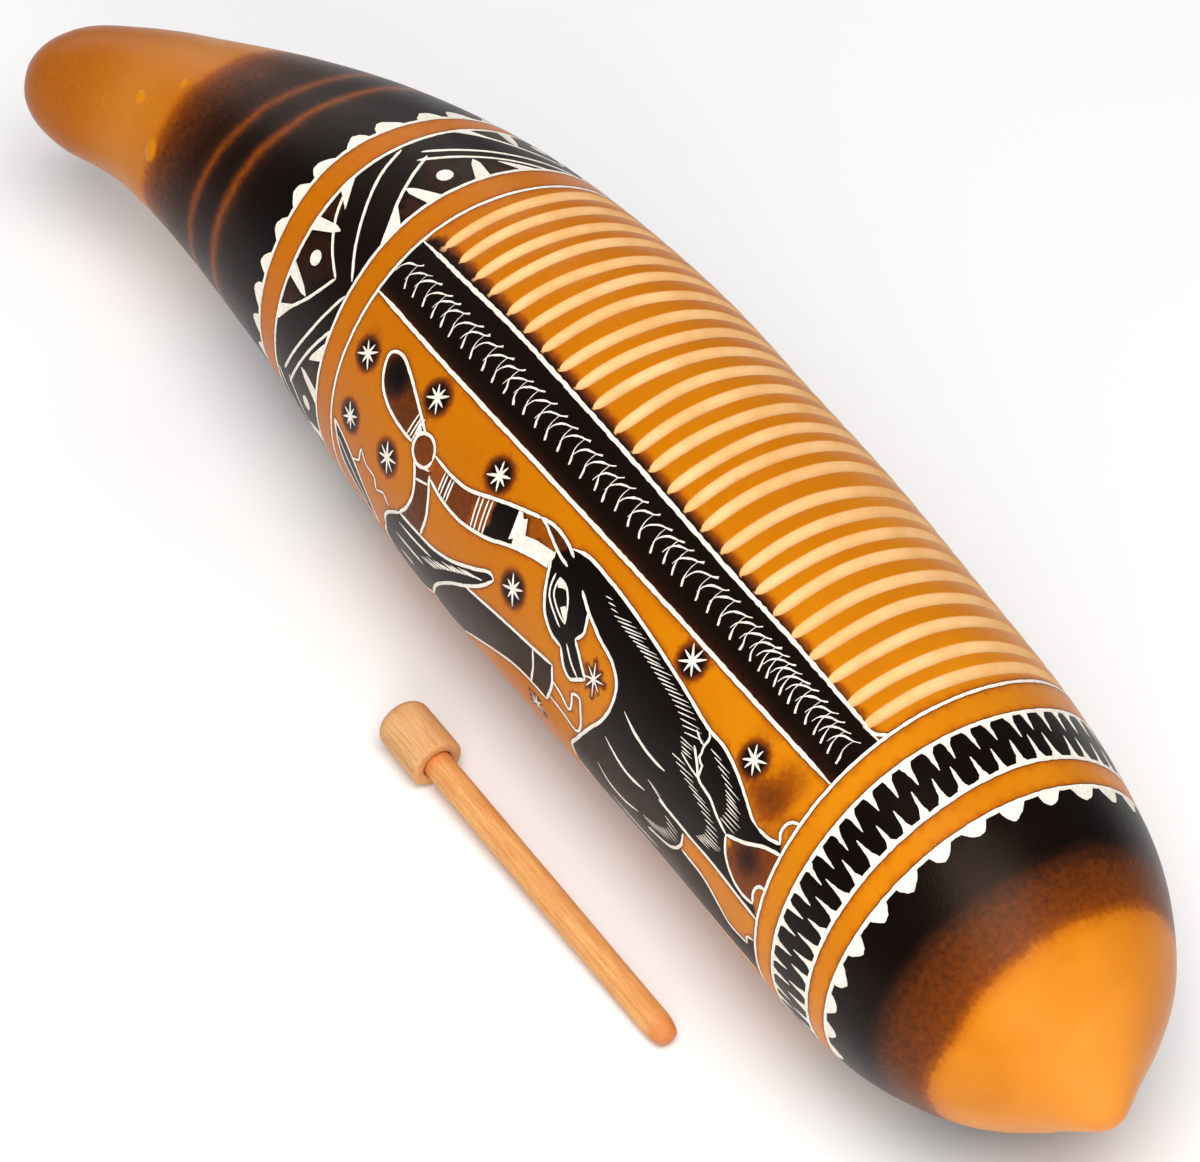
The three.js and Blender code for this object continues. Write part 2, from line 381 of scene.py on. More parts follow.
# the rings and what stands along them
RING_ANGLES = np.linspace(-180, 180, 241)


def ring_cut(name, width):
    """A cut right round the gourd, which meets itself at the seam."""
    n = len(RING_ANGLES)
    left = width / 2 * (1 + 0.16 * rng.uniform(-1, 1, n))
    right = width / 2 * (1 + 0.16 * rng.uniform(-1, 1, n))
    left[-1], right[-1] = left[0], right[0]
    cut_lanes(np.stack([ring(name, RING_ANGLES), RING_ANGLES * VS], 1), left, right, ALONG)


for name, width in (
    ("scallop_1", 1.0), ("braid_1", 0.95), ("braid_2", 0.95), ("panel_1", 0.85),
    ("panel_2", 0.85), ("teeth_1", 1.0), ("teeth_2", 1.0), ("scallop_2", 1.0),
):
    ring_cut(name, width)


def scallops(name, count, height, towards, first):
    """Rounded bites along a ring."""
    pitch = 360 / count
    for k in range(count):
        middle = home(first + k * pitch + rng.uniform(-0.8, 0.8))
        half = pitch * 0.38 * rng.uniform(0.85, 1.12)
        if abs(middle) + half > MARK_LIMIT + 1:
            continue
        high = height * rng.uniform(0.88, 1.1)
        skew = rng.uniform(-0.28, 0.28)
        rim = []
        for t in np.linspace(-1, 1, 11):
            angle = middle + half * (t + skew * (1 - t * t))
            bulge = high * (1 - abs(t) ** 1.7) ** 0.85 + 0.2 * rng.uniform(-1, 1)
            rim.append((ring(name, angle) + towards * max(bulge, 0.0), angle * VS))
        patch(rim)


scallops("scallop_1", SCALLOPS_NECK, 3.4, -1, 9.0)
scallops("scallop_2", SCALLOPS_BLOSSOM, 3.5, 1, 8.0)


def teeth(name, length, towards, first):
    """Pointed cuts that stand on a ring."""
    pitch = 360 / SPIKES
    for k in range(SPIKES):
        angle = home(first + k * pitch + rng.uniform(-0.7, 0.7))
        if abs(angle) > MARK_LIMIT:
            continue
        x = ring(name, angle)
        reach = length * rng.uniform(0.86, 1.1)
        tip = (x + towards * reach, angle + rng.uniform(-0.7, 0.7))
        foot = (x - towards * 0.2, angle)
        line([foot, tip], width=3.3 * rng.uniform(0.9, 1.1), step=0.85,
             taper=(1, 0.8, 0.45, 0.28, 0.06), at=(0, 0.14, 0.3, 0.65, 1), edge=False, rag=0.2)


teeth("teeth_1", 5.9, 1, 1.0)
teeth("teeth_2", 6.4, -1, 4.4)

# braid: the ribbon swings between its two rings
TURNS = [-46, 0, 48, 94, 138, 182, 226, 270, 314]     # angles where it turns, on either ring
FALLING = {
    "outer": [(0.40, 0.0), (0.67, 0.18), (0.87, 0.43), (1.0, 0.71)],
    "middle": [(0.04, 0.05), (0.29, 0.23), (0.52, 0.45), (0.75, 0.7), (0.93, 0.95)],
    "inner": [(-0.04, 0.32), (0.17, 0.52), (0.35, 0.7), (0.52, 0.89), (0.64, 1.0)],
}
RISING = {
    "outer": [(0.41, 0.0), (0.58, 0.22), (0.76, 0.46), (1.0, 0.71)],
    "middle": [(0.04, 0.22), (0.32, 0.45), (0.6, 0.68), (0.97, 0.97)],
    "inner": [(-0.04, 0.32), (0.25, 0.56), (0.5, 0.78), (0.72, 1.0)],
}


def braid_point(k, p, u):
    """p runs from the turn on the neck side to the turn on the blossom side of flank k."""
    a, b = TURNS[k], TURNS[k + 1]
    angle = a + (b - a) * (p if k % 2 else 1 - p)
    near, far = ring("braid_1", angle), ring("braid_2", angle)
    return near + (far - near) * u, angle


def seam_split(points):
    """A line cut where it meets the seam, with each part brought back onto the chart."""
    parts, part, last = [], [], None
    for x, angle in points:
        shift = math.floor((angle + 180) / 360)
        if last is not None and shift != last:
            parts.append(part)
            part = []
        last = shift
        part.append((x, angle - 360 * shift))
    parts.append(part)
    return [p for p in parts if len(p) > 2 and max(abs(q[1]) for q in p) < 179.2]


def around(points, width=0.85, **more):
    """A cut line whose angles may run past the seam."""
    dense = even(spline(chart(points)), 1.1) / (1, VS)
    for part in seam_split([q for q in dense if (q[1] + 180) % 360 > 0.9]):
        gouge(chart(part), width, **more)


def around_fill(points, burn):
    """A burnt shape whose angles may run past the seam."""
    for turn in (-360, 0, 360):
        p = chart([(x, angle + turn) for x, angle in points])
        if p[:, 1].max() > -SEAM and p[:, 1].min() < SEAM:
            fills.append((p, burn))


for k in range(8):
    flank = RISING if k % 2 == 0 else FALLING
    for name, run in flank.items():
        around([braid_point(k, p, u) for p, u in run])


CORNER_REACH = 29.0         # degrees from a turn of the ribbon to the end of its corner


def corner(k, neck_side):
    """What fills the space between the ribbon's turn k and the ring opposite."""
    def at(a, b):
        """a from -1 to 1 along the ring, b from 0 on the ring to 1 at the ribbon's turn."""
        angle = TURNS[k] + a * CORNER_REACH
        near, far = ring("braid_1", angle), ring("braid_2", angle)
        u = 0.70 * b if neck_side else 1 - 0.68 * b
        return near + (far - near) * u, angle

    around_fill([at(0, 0.98), at(0.33, 0.48), at(0.17, 0.03), at(-0.17, 0.03), at(-0.33, 0.48)], 0.84)
    for s in (-1, 1):
        around_fill([at(s * 0.40, 0.05), at(s * 0.72, 0.05), at(s * 0.66, 0.30), at(s * 0.46, 0.42)],
                    0.8)
        for wedge in (
            [at(s * 0.20, 0.01), at(s * 0.38, 0.01), at(s * 0.44, 0.42), at(s * 0.42, 0.58),
             at(s * 0.34, 0.44)],
            [at(s * 0.76, 0.02), at(s * 0.98, 0.02), at(s * 0.70, 0.30), at(s * 0.62, 0.36)],
        ):
            if max(abs(home(q[1])) for q in wedge) < MARK_LIMIT:
                wedge = [(x + rng.uniform(-0.2, 0.2), home(g)) for x, g in wedge]
                patch(even(np.vstack([chart(wedge), chart(wedge[:1])]), 0.9)[:-1])
    x, angle = at(0, 0.40)
    angle = home(angle)
    if abs(angle) < MARK_LIMIT - 3:
        patch([(x + 2.0 * math.cos(t), angle * VS + 2.2 * math.sin(t))
               for t in np.linspace(0, math.tau, 12, endpoint=False)])


for k in range(1, 9):
    corner(k, k % 2 == 0)

# border strips beside the rasp
STRIP_TOP = [(-78, 20.7), (-60, 20.3), (-40, 19.2), (0, 19), (50, 19), (70, 18), (90, 17.3),
             (103.5, 16.6)]
STRIP_LOW = [(-78, 40.3), (-50, 40), (-20, 39), (10, 38.3), (50, 37.3), (80, 36), (104.5, 34)]
FAR_TOP = [(-75, -80.5), (-30, -80.8), (30, -80.8), (96, -80.2)]
FAR_LOW = [(-74.4, -98.5), (-30, -98.8), (30, -98.6), (97, -98)]
line(STRIP_TOP, width=1.0, rag=0.25)
line(STRIP_LOW, width=1.0, rag=0.18)
line(FAR_TOP, width=0.9)
line(FAR_LOW, width=0.9)
line([(98, 17.2), (101.5, 16.2), (103.5, 13.2)], width=0.8)


def hook(x, angle, flip=1):
    """One mark of the border: a bowed bar, and a leg that falls from it."""
    j = rng.uniform(-0.3, 0.3, 6)
    bar = [(x, angle), (x + 0.2, angle - 2.1 * flip), (x + 1.3, angle - (3.9 + j[0]) * flip),
           (x + 2.8, angle - 5.0 * flip), (x + 4.2, angle - 5.6 * flip),
           (x + 5.4 + j[1], angle - (6.6 + j[2]) * flip)]
    leg = [(x + 4.1, angle - 5.4 * flip), (x + 4.0, angle - 3.4 * flip),
           (x + 4.3, angle - 1.5 * flip), (x + 5.0 + j[3], angle),
           (x + 6.0 + j[4], angle + (1.9 + j[5]) * flip)]
    line(bar, width=0.5, step=0.8, taper=(0.3, 0.55, 1.1, 0.6, rng.uniform(0.3, 1.3)),
         at=(0, 0.2, 0.5, 0.8, 1), edge=False, rag=0.3)
    line(leg, width=0.46, step=0.8, taper=(0.3, 0.5, 1.25, 1), at=(0, 0.5, 0.85, 1), edge=False,
         rag=0.3)


x = -77.4
while x < 97.5:
    hook(x, np.interp(x, (-75, 0, 102), (32.4, 30.3, 27.2)) + rng.uniform(-0.3, 0.3))
    x += (4.3 if x < 52 else 3.3) * rng.uniform(0.8, 1.18)
x = -71.5
while x < 90:
    hook(x, -91.6, -1)
    x += 4.4 * rng.uniform(0.82, 1.18)

# ---- the carved panel beside the rasp ----------------------------------------------------------
# a big bird that bends its head to its breast
CREST_TOP = [(1.4, 47.5), (6, 46.3), (9.8, 46.5), (13, 47.4), (14.9, 48.3)]
CREST_LOW = [(1.4, 47.5), (3.6, 47.8), (6.1, 48.9), (9.4, 50.2), (12.1, 51), (14.8, 51.4)]
BACK = [(13.2, 46.9), (16.6, 45.3), (20, 44.8), (25, 44.9), (31, 45.1), (45, 46.6), (60, 49),
        (71.8, 51.2), (77, 51), (81, 51.8), (86, 53.5), (91, 56), (95, 58.1), (97.5, 58.6)]
RUMP = [(97.5, 58.6), (101.8, 57.9), (105, 56.2)]
LEG_1 = [(106.8, 58.4), (101.8, 60.9), (96.4, 65.2), (90.5, 68.7)]
THIGH = [(90.5, 68.7), (92.4, 73.4), (96.4, 77.5), (101, 79.1), (105.2, 78.4)]
BELLY_TOP = [(107.4, 82), (98, 81.2), (90, 80.9), (80, 81.6), (66.8, 81.7)]
FLANK = [(77.3, 83.2), (77, 88.2), (72.5, 94.5), (62.5, 98.6)]
CHEST = [(21.8, 52.8), (26.4, 55.6), (32.7, 58.3), (40, 60.7), (43.6, 64.5), (44.5, 70),
         (43.2, 76.6), (39.1, 84.5), (34.5, 93.6), (31.2, 100.5), (32, 106)]
BELLY = [(32, 106), (38, 110.5), (48, 113.5), (60, 114), (72, 112), (84, 108.5), (96, 107),
         (106.5, 107)]
THROAT = [(26.4, 55.6), (27.6, 58.4), (28.3, 61.6), (26.8, 64.6)]
BEAK_LOW = [(26.8, 64.6), (30.6, 68), (34.2, 71.6)]
BEAK_TIP = [(34.2, 71.6), (31.4, 74.2), (29.4, 76), (26.6, 74.7), (23.6, 70.3)]
FACE = [(23.6, 70.3), (19.6, 69.8), (15.3, 66.4), (12.5, 60.7), (10.2, 53.9)]
NAPE = [(10.2, 53.9), (9.8, 51.0)]

figure([[(9.8, 51.0), (13.2, 46.9)], BACK, RUMP, [(105, 56.2), (106.8, 58.4)], LEG_1, THIGH,
        [(105.2, 78.4), (107.4, 82)], BELLY_TOP[:4], [(77.3, 83.2), (77, 88.2)],
        [(77.3, 89.7), (87.3, 90), (93.6, 93.6), (97.3, 96.3), (104.5, 95.8)],
        [(105, 92.5), (107, 91), (107, 107)], BELLY[::-1], CHEST[::-1][:-1], THROAT, BEAK_LOW,
        BEAK_TIP, FACE, NAPE],
       1.0, cut=(1, 2, 4, 5, 9, 11, 12, 13, 14, 15, 16, 17))
line(CREST_TOP, width=0.8)
line(CREST_LOW, width=0.75)
stain([(1.4, 47.5), (6, 46.3), (9.8, 46.5), (12.2, 47.2), (11.4, 50.7), (9.4, 50.2), (6.1, 48.9),
       (3.6, 47.8)], 0.66)
for run in (BELLY_TOP, FLANK, CHEST[:3]):
    line(run)
line([(25, 68), (28.4, 71.4), (31.6, 73.4)], width=0.6)
line([(104.9, 56.3), (103.2, 53.6), (103.7, 49.6), (106.2, 47.6)], width=0.8)
line([(105.1, 78.4), (104.3, 74.4), (105.4, 71.4), (107.6, 70.6)], width=0.8)
line([(104.6, 95.8), (104.6, 92.8), (107.2, 91)], width=0.8)
stain([(92, 68), (99, 62.5), (106.8, 58.8), (107.3, 70.5), (104.5, 73), (105.2, 78), (101, 78.6),
       (96.4, 77), (92.9, 73)], 0.5)
for cx, angle, size, dark in ((99, 68, 6.0, 0.3), (90, 51.5, 6.5, 0.26), (97, 52, 7.5, 0.36),
                              (97, 43, 9, 0.3), (84, 40, 6, 0.16), (-70, 50, 5, 0.2)):
    halos.append((cx, angle * VS, size, dark))
# the eye and the cheek
line([(14.7, 55.2), (17.2, 55.5), (19.3, 57.4), (20.8, 60.2), (22.1, 64)], width=0.55)
line([(22.1, 64), (19.5, 63.2), (16.8, 61.5), (15.3, 59.9), (14.8, 57.7), (14.7, 55.2)], width=0.5)
patch(chart([(14.9, 55.3), (16.4, 55.5), (17.9, 56.5), (16.9, 56.8), (15.6, 57.8), (15, 57)]))
patch(chart([(18.8, 61.4), (19.9, 59.9), (20.7, 60.5), (21.9, 63.6), (20.4, 62.8)]))
line([(13.1, 55.3), (13.7, 59.7), (14.9, 62), (18.2, 64.4), (21.1, 66)], width=0.55)
# wing, feathers and long breast cuts
line([(72, 51.6), (73.2, 53), (72.9, 55.6), (73.4, 57.6), (73.5, 59.2), (75.6, 60.6), (75.6, 62.3),
      (76.3, 64)], width=0.7, rag=0.3)
line([(68.9, 54.1), (71.4, 55.4), (72.9, 55.6)], width=0.5)
line([(70.6, 57.9), (73.8, 61), (76.3, 64), (81.6, 65), (85.7, 67.1), (90.5, 68.7)], width=0.75)
line([(68.4, 62.6), (72.2, 63.5), (76.3, 64)], width=0.45)
FEATHER = {"width": 0.32, "spread": 2.5}
hatch([(28, 48.7), (31.2, 49.9)], 2.4, -15, gap=1.9, **FEATHER)
hatch([(33, 50.6), (36.7, 51), (44.3, 51.5), (51.7, 52.7), (59.9, 54.1), (63.6, 55.8), (66.4, 57.6)],
      6.0, -20, gap=1.6, **FEATHER)
hatch([(66.2, 59.4), (67, 60.6), (68.4, 62)], 4.6, -8, gap=1.2, **FEATHER)
hatch([(66.2, 65.2), (69.8, 66.8), (76.8, 68.9), (83, 71.4)], 6.2, -6, gap=2.2, **FEATHER)
hatch([(84, 72.6), (84.2, 75.2), (82, 78.6)], 6.2, -6, gap=0.95, **FEATHER)
hatch([(75, 54.6), (77.8, 55.6), (80.5, 56.8), (83.3, 58)], 5.6, -3, gap=2.1, **FEATHER)
hatch([(84.4, 59.2), (86.2, 61.2), (87.4, 63.4), (87, 66.4)], 5.6, -3, gap=1.05, **FEATHER)
hatch([(66.8, 81), (62, 79.4)], 5.5, 8, gap=1.5, **FEATHER)
hatch([(70, 84.6), (71, 88), (67.5, 91.6), (61, 95)], 5.2, 6, gap=1.5, **FEATHER)
for run in (
    [(48.7, 68.3), (54.7, 71), (61.6, 72.1), (66.2, 71.7)],
    [(45.2, 81), (51, 84.2), (55.7, 85.2), (61.4, 84.2)],
    [(42.7, 94), (46.7, 98.2), (52.3, 99), (58.7, 96.4)], [(46, 105.5), (55, 107), (65, 105.5)],
):
    line(run, width=0.85, taper=(0.2, 1, 1, 0.3), at=(0, 0.3, 0.8, 1))

# a banded sash from the bird's nape to a knot, with a seed leaf behind it
figure([[(-33.4, 59.5), (-26.4, 59.6), (-20, 58.4), (-13.6, 55), (-6.4, 51.2), (-1.6, 49),
         (1.6, 47.6)],
        [(1.6, 47.6), (6.1, 48.9), (9.8, 51), (10.2, 53.9)],
        [(10.2, 56.1), (6.4, 56.8), (1.8, 58.7), (-2.7, 60.8), (-8.2, 64.1), (-13.6, 66.3),
         (-20, 67.7), (-26.4, 67.3), (-31.8, 65.8)]], 0.34, cut=(0, 2))
stain([(-28, 60.2), (-24.6, 60), (-24.6, 66.8), (-28, 66.6)], 0.62)
stain([(-24.6, 60), (-20, 58.8), (-16.2, 57), (-16.2, 66.6), (-20, 67.2), (-24.6, 66.8)], 0.55)
stain([(-11, 53.9), (-3.6, 50.6), (-2, 60), (-8, 63.6), (-10.4, 64.6)], 1.0)
for x, top, low, lean in (
    (-28.2, 60.3, 66.6, 0.3), (-27.2, 60.3, 66.8, 0.3), (-25.8, 60.2, 66.9, 0.3),
    (-24.8, 60, 67, 0.3), (-16.2, 57, 66.4, 1.6), (-15, 56.2, 66.2, 1.6),
    (-13.4, 55.6, 65.9, 1.6), (-12.2, 55, 65.3, 1.6),
):
    line([(x, top), (x + lean, low)], width=0.5)
patch(chart([(-4.6, 51), (-3.4, 50.6), (-2.9, 52.4), (-1.4, 50.8), (-0.6, 55.2), (4, 53), (10, 51.4),
             (10.2, 56.1), (6.4, 56.8), (1.8, 58.7), (-1.6, 59.8), (-2.2, 57.5), (-3.2, 59.4),
             (-3.6, 56)]))
knot = [(-37.3 + 3.9 * math.cos(t), 61.3 + 4.7 * math.sin(t)) for t in np.linspace(0, math.tau, 13)]
figure([knot], 0.5)
figure([[(-38.9, 65.6), (-37.2, 68.4), (-35.4, 74.3), (-36.4, 80), (-39.1, 85)],
        [(-39.1, 85), (-29.8, 83.4)],
        [(-29.8, 83.4), (-28.9, 76.6), (-30, 70.9), (-32.3, 65.2)]], 0.62, cut=(0, 2))
line([(-37.6, 66), (-32.8, 64.3)], width=0.6)
line([(-36.6, 70), (-31.6, 67.8)], width=0.6)
figure([[(-38.6, 57.6), (-42.7, 55), (-47.3, 52.2), (-53.6, 48.8), (-58.6, 47.4), (-61.8, 49.6),
         (-61, 53.9), (-58.2, 58.4), (-53.6, 61.2), (-47.3, 62.5), (-41.6, 62.5)]], 0.6)
halos.append((-56, 52.4 * VS, 6.5, 0.42))
for x in (-44.4, -43.2, -42.1):
    line([(x + 0.6, 54.4), (x, 62.4)], width=0.48)
patch(chart([(-42.4, 56), (-40.4, 57.8), (-41, 59.8), (-42.2, 60)]))

# a wing and a trailing cloth below
figure([[(-39, 85), (-31.8, 84.3), (-24.5, 83.4), (-17.3, 80.6), (-10, 76), (-3.6, 71.8), (-2.4, 73)],
        [(-2.4, 73), (-5.5, 77.7), (-10.9, 83.4), (-17.3, 89.1), (-23.6, 97), (-27, 105)],
        [(-27, 105), (-34, 110), (-44, 109), (-47.4, 103), (-46.4, 98.2)],
        [(-46.4, 98.2), (-45.9, 93.6), (-43.6, 89.7), (-39, 85)]], 0.97)
for run in ([(-39.1, 88.7), (-32, 88.2), (-25, 87.2)], [(-41, 94.9), (-35, 94.4), (-28.6, 94)],
            [(-40, 101.5), (-34, 101)]):
    line(run, width=0.75, taper=(0.2, 1, 1, 0.3), at=(0, 0.3, 0.8, 1))
hatch([(-6, 76.4), (-11, 79.6), (-15, 82.6), (-19, 85.8), (-23, 89.6)], 6.2, 163, gap=1.6, width=0.5)
figure([[(-11.2, 84), (0.9, 81.7), (14.5, 79.4), (22.7, 77.8)],
        [(22.7, 77.8), (23.8, 84), (22, 91.7)],
        [(22, 91.7), (14, 92), (8, 93.4), (0, 97.3), (-10, 104), (-16, 109.5)],
        [(-16, 109.5), (-22, 110), (-27, 105)],
        [(-27, 105), (-23.6, 97), (-17.3, 89.1), (-10.9, 83.4)]], 0.84, cut=(0, 1, 2, 3))
line([(15.2, 79.6), (16.2, 85), (15.6, 91.8)], width=0.7)
line([(23.6, 82.4), (27.3, 83.6), (31.2, 85.8), (31.8, 82.3), (31.4, 79.5), (34.1, 78.3), (35.2, 81.4),
      (36, 86.8), (34.4, 90.8), (29.5, 89.8), (23, 88.9)], width=0.75)
figure([[(-72.4, 82.8), (-66.8, 85.2), (-60.5, 90), (-54.4, 98), (-51.5, 105)],
        [(-51.5, 105), (-60, 101.5), (-68, 94.5), (-72.4, 82.8)]], 0.84)
line([(-70, 87.5), (-62, 94.6), (-56, 101)], width=0.55)
line([(-62.6, 88.6), (-58.9, 86), (-58.4, 80.6), (-55.5, 84), (-50.9, 84.2), (-50, 88), (-46.6, 85.6),
      (-43.8, 88)], width=0.6, smooth=False, rag=0.2)
for x, angle in ((-68.2, 55.5), (-42, 47.6), (-14.6, 48.6), (-65.6, 75.6), (-47.6, 73.6), (4, 69.6),
                 (57, 42.3), (86, 46.6)):
    star(x, angle)
star(36.6, 69, size=4.0, halo=0, width=0.5)
star(17, 99.5, size=3.4, halo=0, width=0.5)

# ---- the panel on the far side and underneath: leaves on a vine, and stars ----------------------
def leaf(x, angle, reach, turn, burn):
    """A pointed leaf with a vein; turn is in chart degrees."""
    a = math.radians(turn)
    along = np.array([math.cos(a), math.sin(a)])
    across = np.array([-along[1], along[0]])
    root = np.array([x, angle * VS])
    rim = [root + along * reach * t + across * reach * 0.3 * s * math.sin(math.pi * t ** 0.8)
           for s, ts in ((1, np.linspace(0, 1, 7)), (-1, np.linspace(1, 0, 7))) for t in ts]
    half = len(rim) // 2
    gouge(even(spline(rim[:half]), 1.1), 0.8)
    gouge(even(spline(rim[half:]), 1.1), 0.8)
    fills.append((np.array(rim), burn))
    gouge(even(np.array([root + along * reach * 0.12, root + along * reach * 0.82]), 1.2), 0.55,
          taper=(1, 1, 0.2), at=(0, 0.5, 1))


def vine(points, reach, up_turn):
    """A wavy stem with leaves that stand to either side of it in turn."""
    line(points, width=0.8)
    for k, (x, angle) in enumerate(spline(points, 3)[1:-1:2]):
        if k % 2:
            leaf(x, angle - 1, reach, -50, 0.62)
        else:
            leaf(x, angle + 1, reach, up_turn, 0.85)


vine([(-58, -152), (-40, -157), (-20, -152), (0, -148), (18, -152), (36, -158), (58, -153),
      (84, -149)], 12.5, 52)
for x, angle in ((-60, -112), (-49, -132), (-2, -112), (12, -134), (66, -110), (74, -131), (88, -120)):
    star(x, angle)
vine([(-58, 128), (-36, 133), (-10, 128), (16, 133), (44, 128), (72, 132), (96, 128)], 11.0, 48)

# ---- rasp grooves and grip holes on the chart ---------------------------------------------------
def groove_lean(x):
    """How far a groove drifts along the gourd for one degree, in mm."""
    return LEAN_NECK + (LEAN_BLOSSOM - LEAN_NECK) * smoothstep(*LEAN_TURNS, x)


def groove_half(t):
    """Half width along a groove, t from 0 at its near end to 1 at its far end."""
    swell = 0.87 + 0.13 * np.sin(math.pi * t)
    return GROOVE_HALF * swell * np.clip(1 - np.abs(2 * t - 1) ** 26, 0, 1) ** 0.5


GROOVE_WAVES = rng.uniform(0, math.tau, (len(GROOVES), 3))


def groove_middle(k, angle):
    """Where the middle of groove k lies along the gourd at an angle."""
    a, b, c = GROOVE_WAVES[k]
    wander = 0.16 * np.sin(angle / 13 + a) + 0.1 * np.sin(angle / 6.1 + b)
    return GROOVES[k] + groove_lean(GROOVES[k]) * (GROOVE_FROM - angle) + wander


stations = np.r_[0, 0.004, 0.012, 0.026, np.linspace(0.045, 0.955, 44), 0.974, 0.988, 0.996, 1]
groove_angles = GROOVE_FROM + (GROOVE_TO - GROOVE_FROM) * stations
lane_edges = [groove_half(stations) * s for s in (-1.12, -0.9, -0.6, 0, 0.6, 0.9, 1.12)]
for k in range(len(GROOVES)):
    middle = np.stack([groove_middle(k, groove_angles), groove_angles * VS], 1)
    lanes(middle, lane_edges, ALONG, (PLAIN,) * 6)

HOLE_POINTS = 56


def hole_loop(x0, radius, r):
    """Chart outline of a hole drilled square to the skin, where the surface is r from the axis."""
    t = np.linspace(0, math.tau, HOLE_POINTS, endpoint=False)
    return np.stack([x0 + radius * np.cos(t),
                     (HOLE_ANGLE + np.degrees(np.arcsin(radius * np.sin(t) / r))) * VS], 1)


def grid_points(x0, x1, v0, v1, gap):
    """A field of points in a triangular layout."""
    rows = int((v1 - v0) / (gap * 0.866)) + 1
    out = []
    for j in range(rows):
        v = v0 + (j + 0.5) * (v1 - v0) / rows
        xs = np.arange(x0 + (gap / 2 if j % 2 else 0), x1, gap)
        out.append(np.stack([xs, np.full_like(xs, v)], 1))
    return np.vstack(out) + rng.uniform(-0.08, 0.08, (sum(map(len, out)), 2)) * gap


def cut_hole(points, polygons, x0, radius, r):
    """A hole's outline, added to the points and polygons of a chart."""
    loop = hole_loop(x0, radius, r)
    polygons.append(tuple(range(len(points), len(points) + HOLE_POINTS)))
    points.extend(map(tuple, loop))
    return loop


def area(p, q, r):
    """The area of a chart triangle, positive when it runs anticlockwise."""
    return ((q[0] - p[0]) * (r[1] - p[1]) - (r[0] - p[0]) * (q[1] - p[1])) / 2


def sound(points, polygons, kinds):
    """The polygons turned anticlockwise, with a folded quad as two triangles and slivers left out."""
    good, of_kind = [], []
    for polygon, kind in zip(polygons, kinds):
        parts = [polygon]
        if len(polygon) == 4:
            a, b, c, d = (points[i] for i in polygon)
            signs = [area(a, b, c), area(b, c, d), area(c, d, a), area(d, a, b)]
            if min(signs) < 1e-7 < max(signs) or abs(max(signs)) < 1e-7:
                parts = [(polygon[0], polygon[1], polygon[2]), (polygon[0], polygon[2], polygon[3])]
        for part in parts:
            total = sum(area((0, 0), points[part[k - 1]], points[part[k]]) for k in range(len(part)))
            if abs(total) > 1e-5:
                good.append(part if total > 0 else part[::-1])
                of_kind.append(kind)
    return good, of_kind


def triangulate(points, polygons, kinds, x0, x1, edge_gap):
    """Chart triangles between x0 and x1, closed at the seam, with the kind of each one and with
    the holes left open."""
    polygons, kinds = sound(points, polygons, kinds)
    xs = np.linspace(x0, x1, int(round((x1 - x0) / edge_gap)) + 1)
    vs = np.linspace(-SEAM, SEAM, AROUND + 1)
    rim = [(x, s * SEAM) for x in xs for s in (-1, 1)]
    rim += [(x, v) for x in (x0, x1) for v in vs[1:-1]]
    out = delaunay_2d_cdt([Vector(p) for p in [*points, *rim]], [], polygons, 0, 1e-5, True)
    co = np.array([(p.x, p.y) for p in out[0]])
    tri, kind = [], []
    for corners, source in zip(out[2], out[5]):
        of_kind = max((kinds[s] for s in source), default=PLAIN)
        if len(corners) == 3 and of_kind != HOLE:
            tri.append(corners)
            kind.append(of_kind)
    tri, co = compact(np.array(tri), co)
    return co, tri, np.array(kind)


# ---- the skin ----------------------------------------------------------------------------------
hole_rims = [cut_hole(verts, faces, x0, HOLE_RADIUS + HOLE_RIM, HOLE_OUT) for x0 in HOLES]
tags += [HOLE] * len(HOLES)
FIELD_GAP = 0.55            # how far the plain points of the skin keep from the drawing
DROP_RINGS = (0.0, 0.3, 0.55, 0.75, 0.88, 1.0, 1.15, 1.4)
for x, degrees, rx, rv, _ in DROPS:
    dots(x, degrees * VS, rx, rv / NECK_DEGREE * VS, DROP_RINGS, 18)

field = np.vstack([
    grid_points(CHART_FROM + 2, FINE_FROM, -SEAM + 2, SEAM - 2, 3.4),
    grid_points(FINE_FROM, FINE_TO, -SEAM + 1.4, FINE_TOP * VS, 2.5),
    grid_points(FINE_FROM, FINE_TO, FINE_TOP * VS, FINE_LOW * VS, 1.7),
    grid_points(FINE_FROM, FINE_TO, FINE_LOW * VS, SEAM - 1.4, 2.5),
    grid_points(FINE_TO, CHART_TO - 1.5, -SEAM + 2, SEAM - 2, 3.2),
])
field = field[nearest(field, verts) > FIELD_GAP]
co, tri, kind = triangulate([*verts, *map(tuple, field)], faces, tags, CHART_FROM, CHART_TO, 2.6)

# depth of the cuts, which starts at their edges
cut_edges = where_kinds_meet(tri, kind)
border = np.unique(cut_edges)
distance = nearest(co, np.vstack([co[border], co[cut_edges].mean(1)]))
in_cut = np.zeros(len(co), bool)
in_cut[tri[kind == CUT]] = True
in_cut[border] = False
depth = np.where(in_cut, CUT_DEPTH * smoothstep(0, CUT_SLOPE, distance), 0)
x, v = co[:, 0], co[:, 1]
angle = v / VS

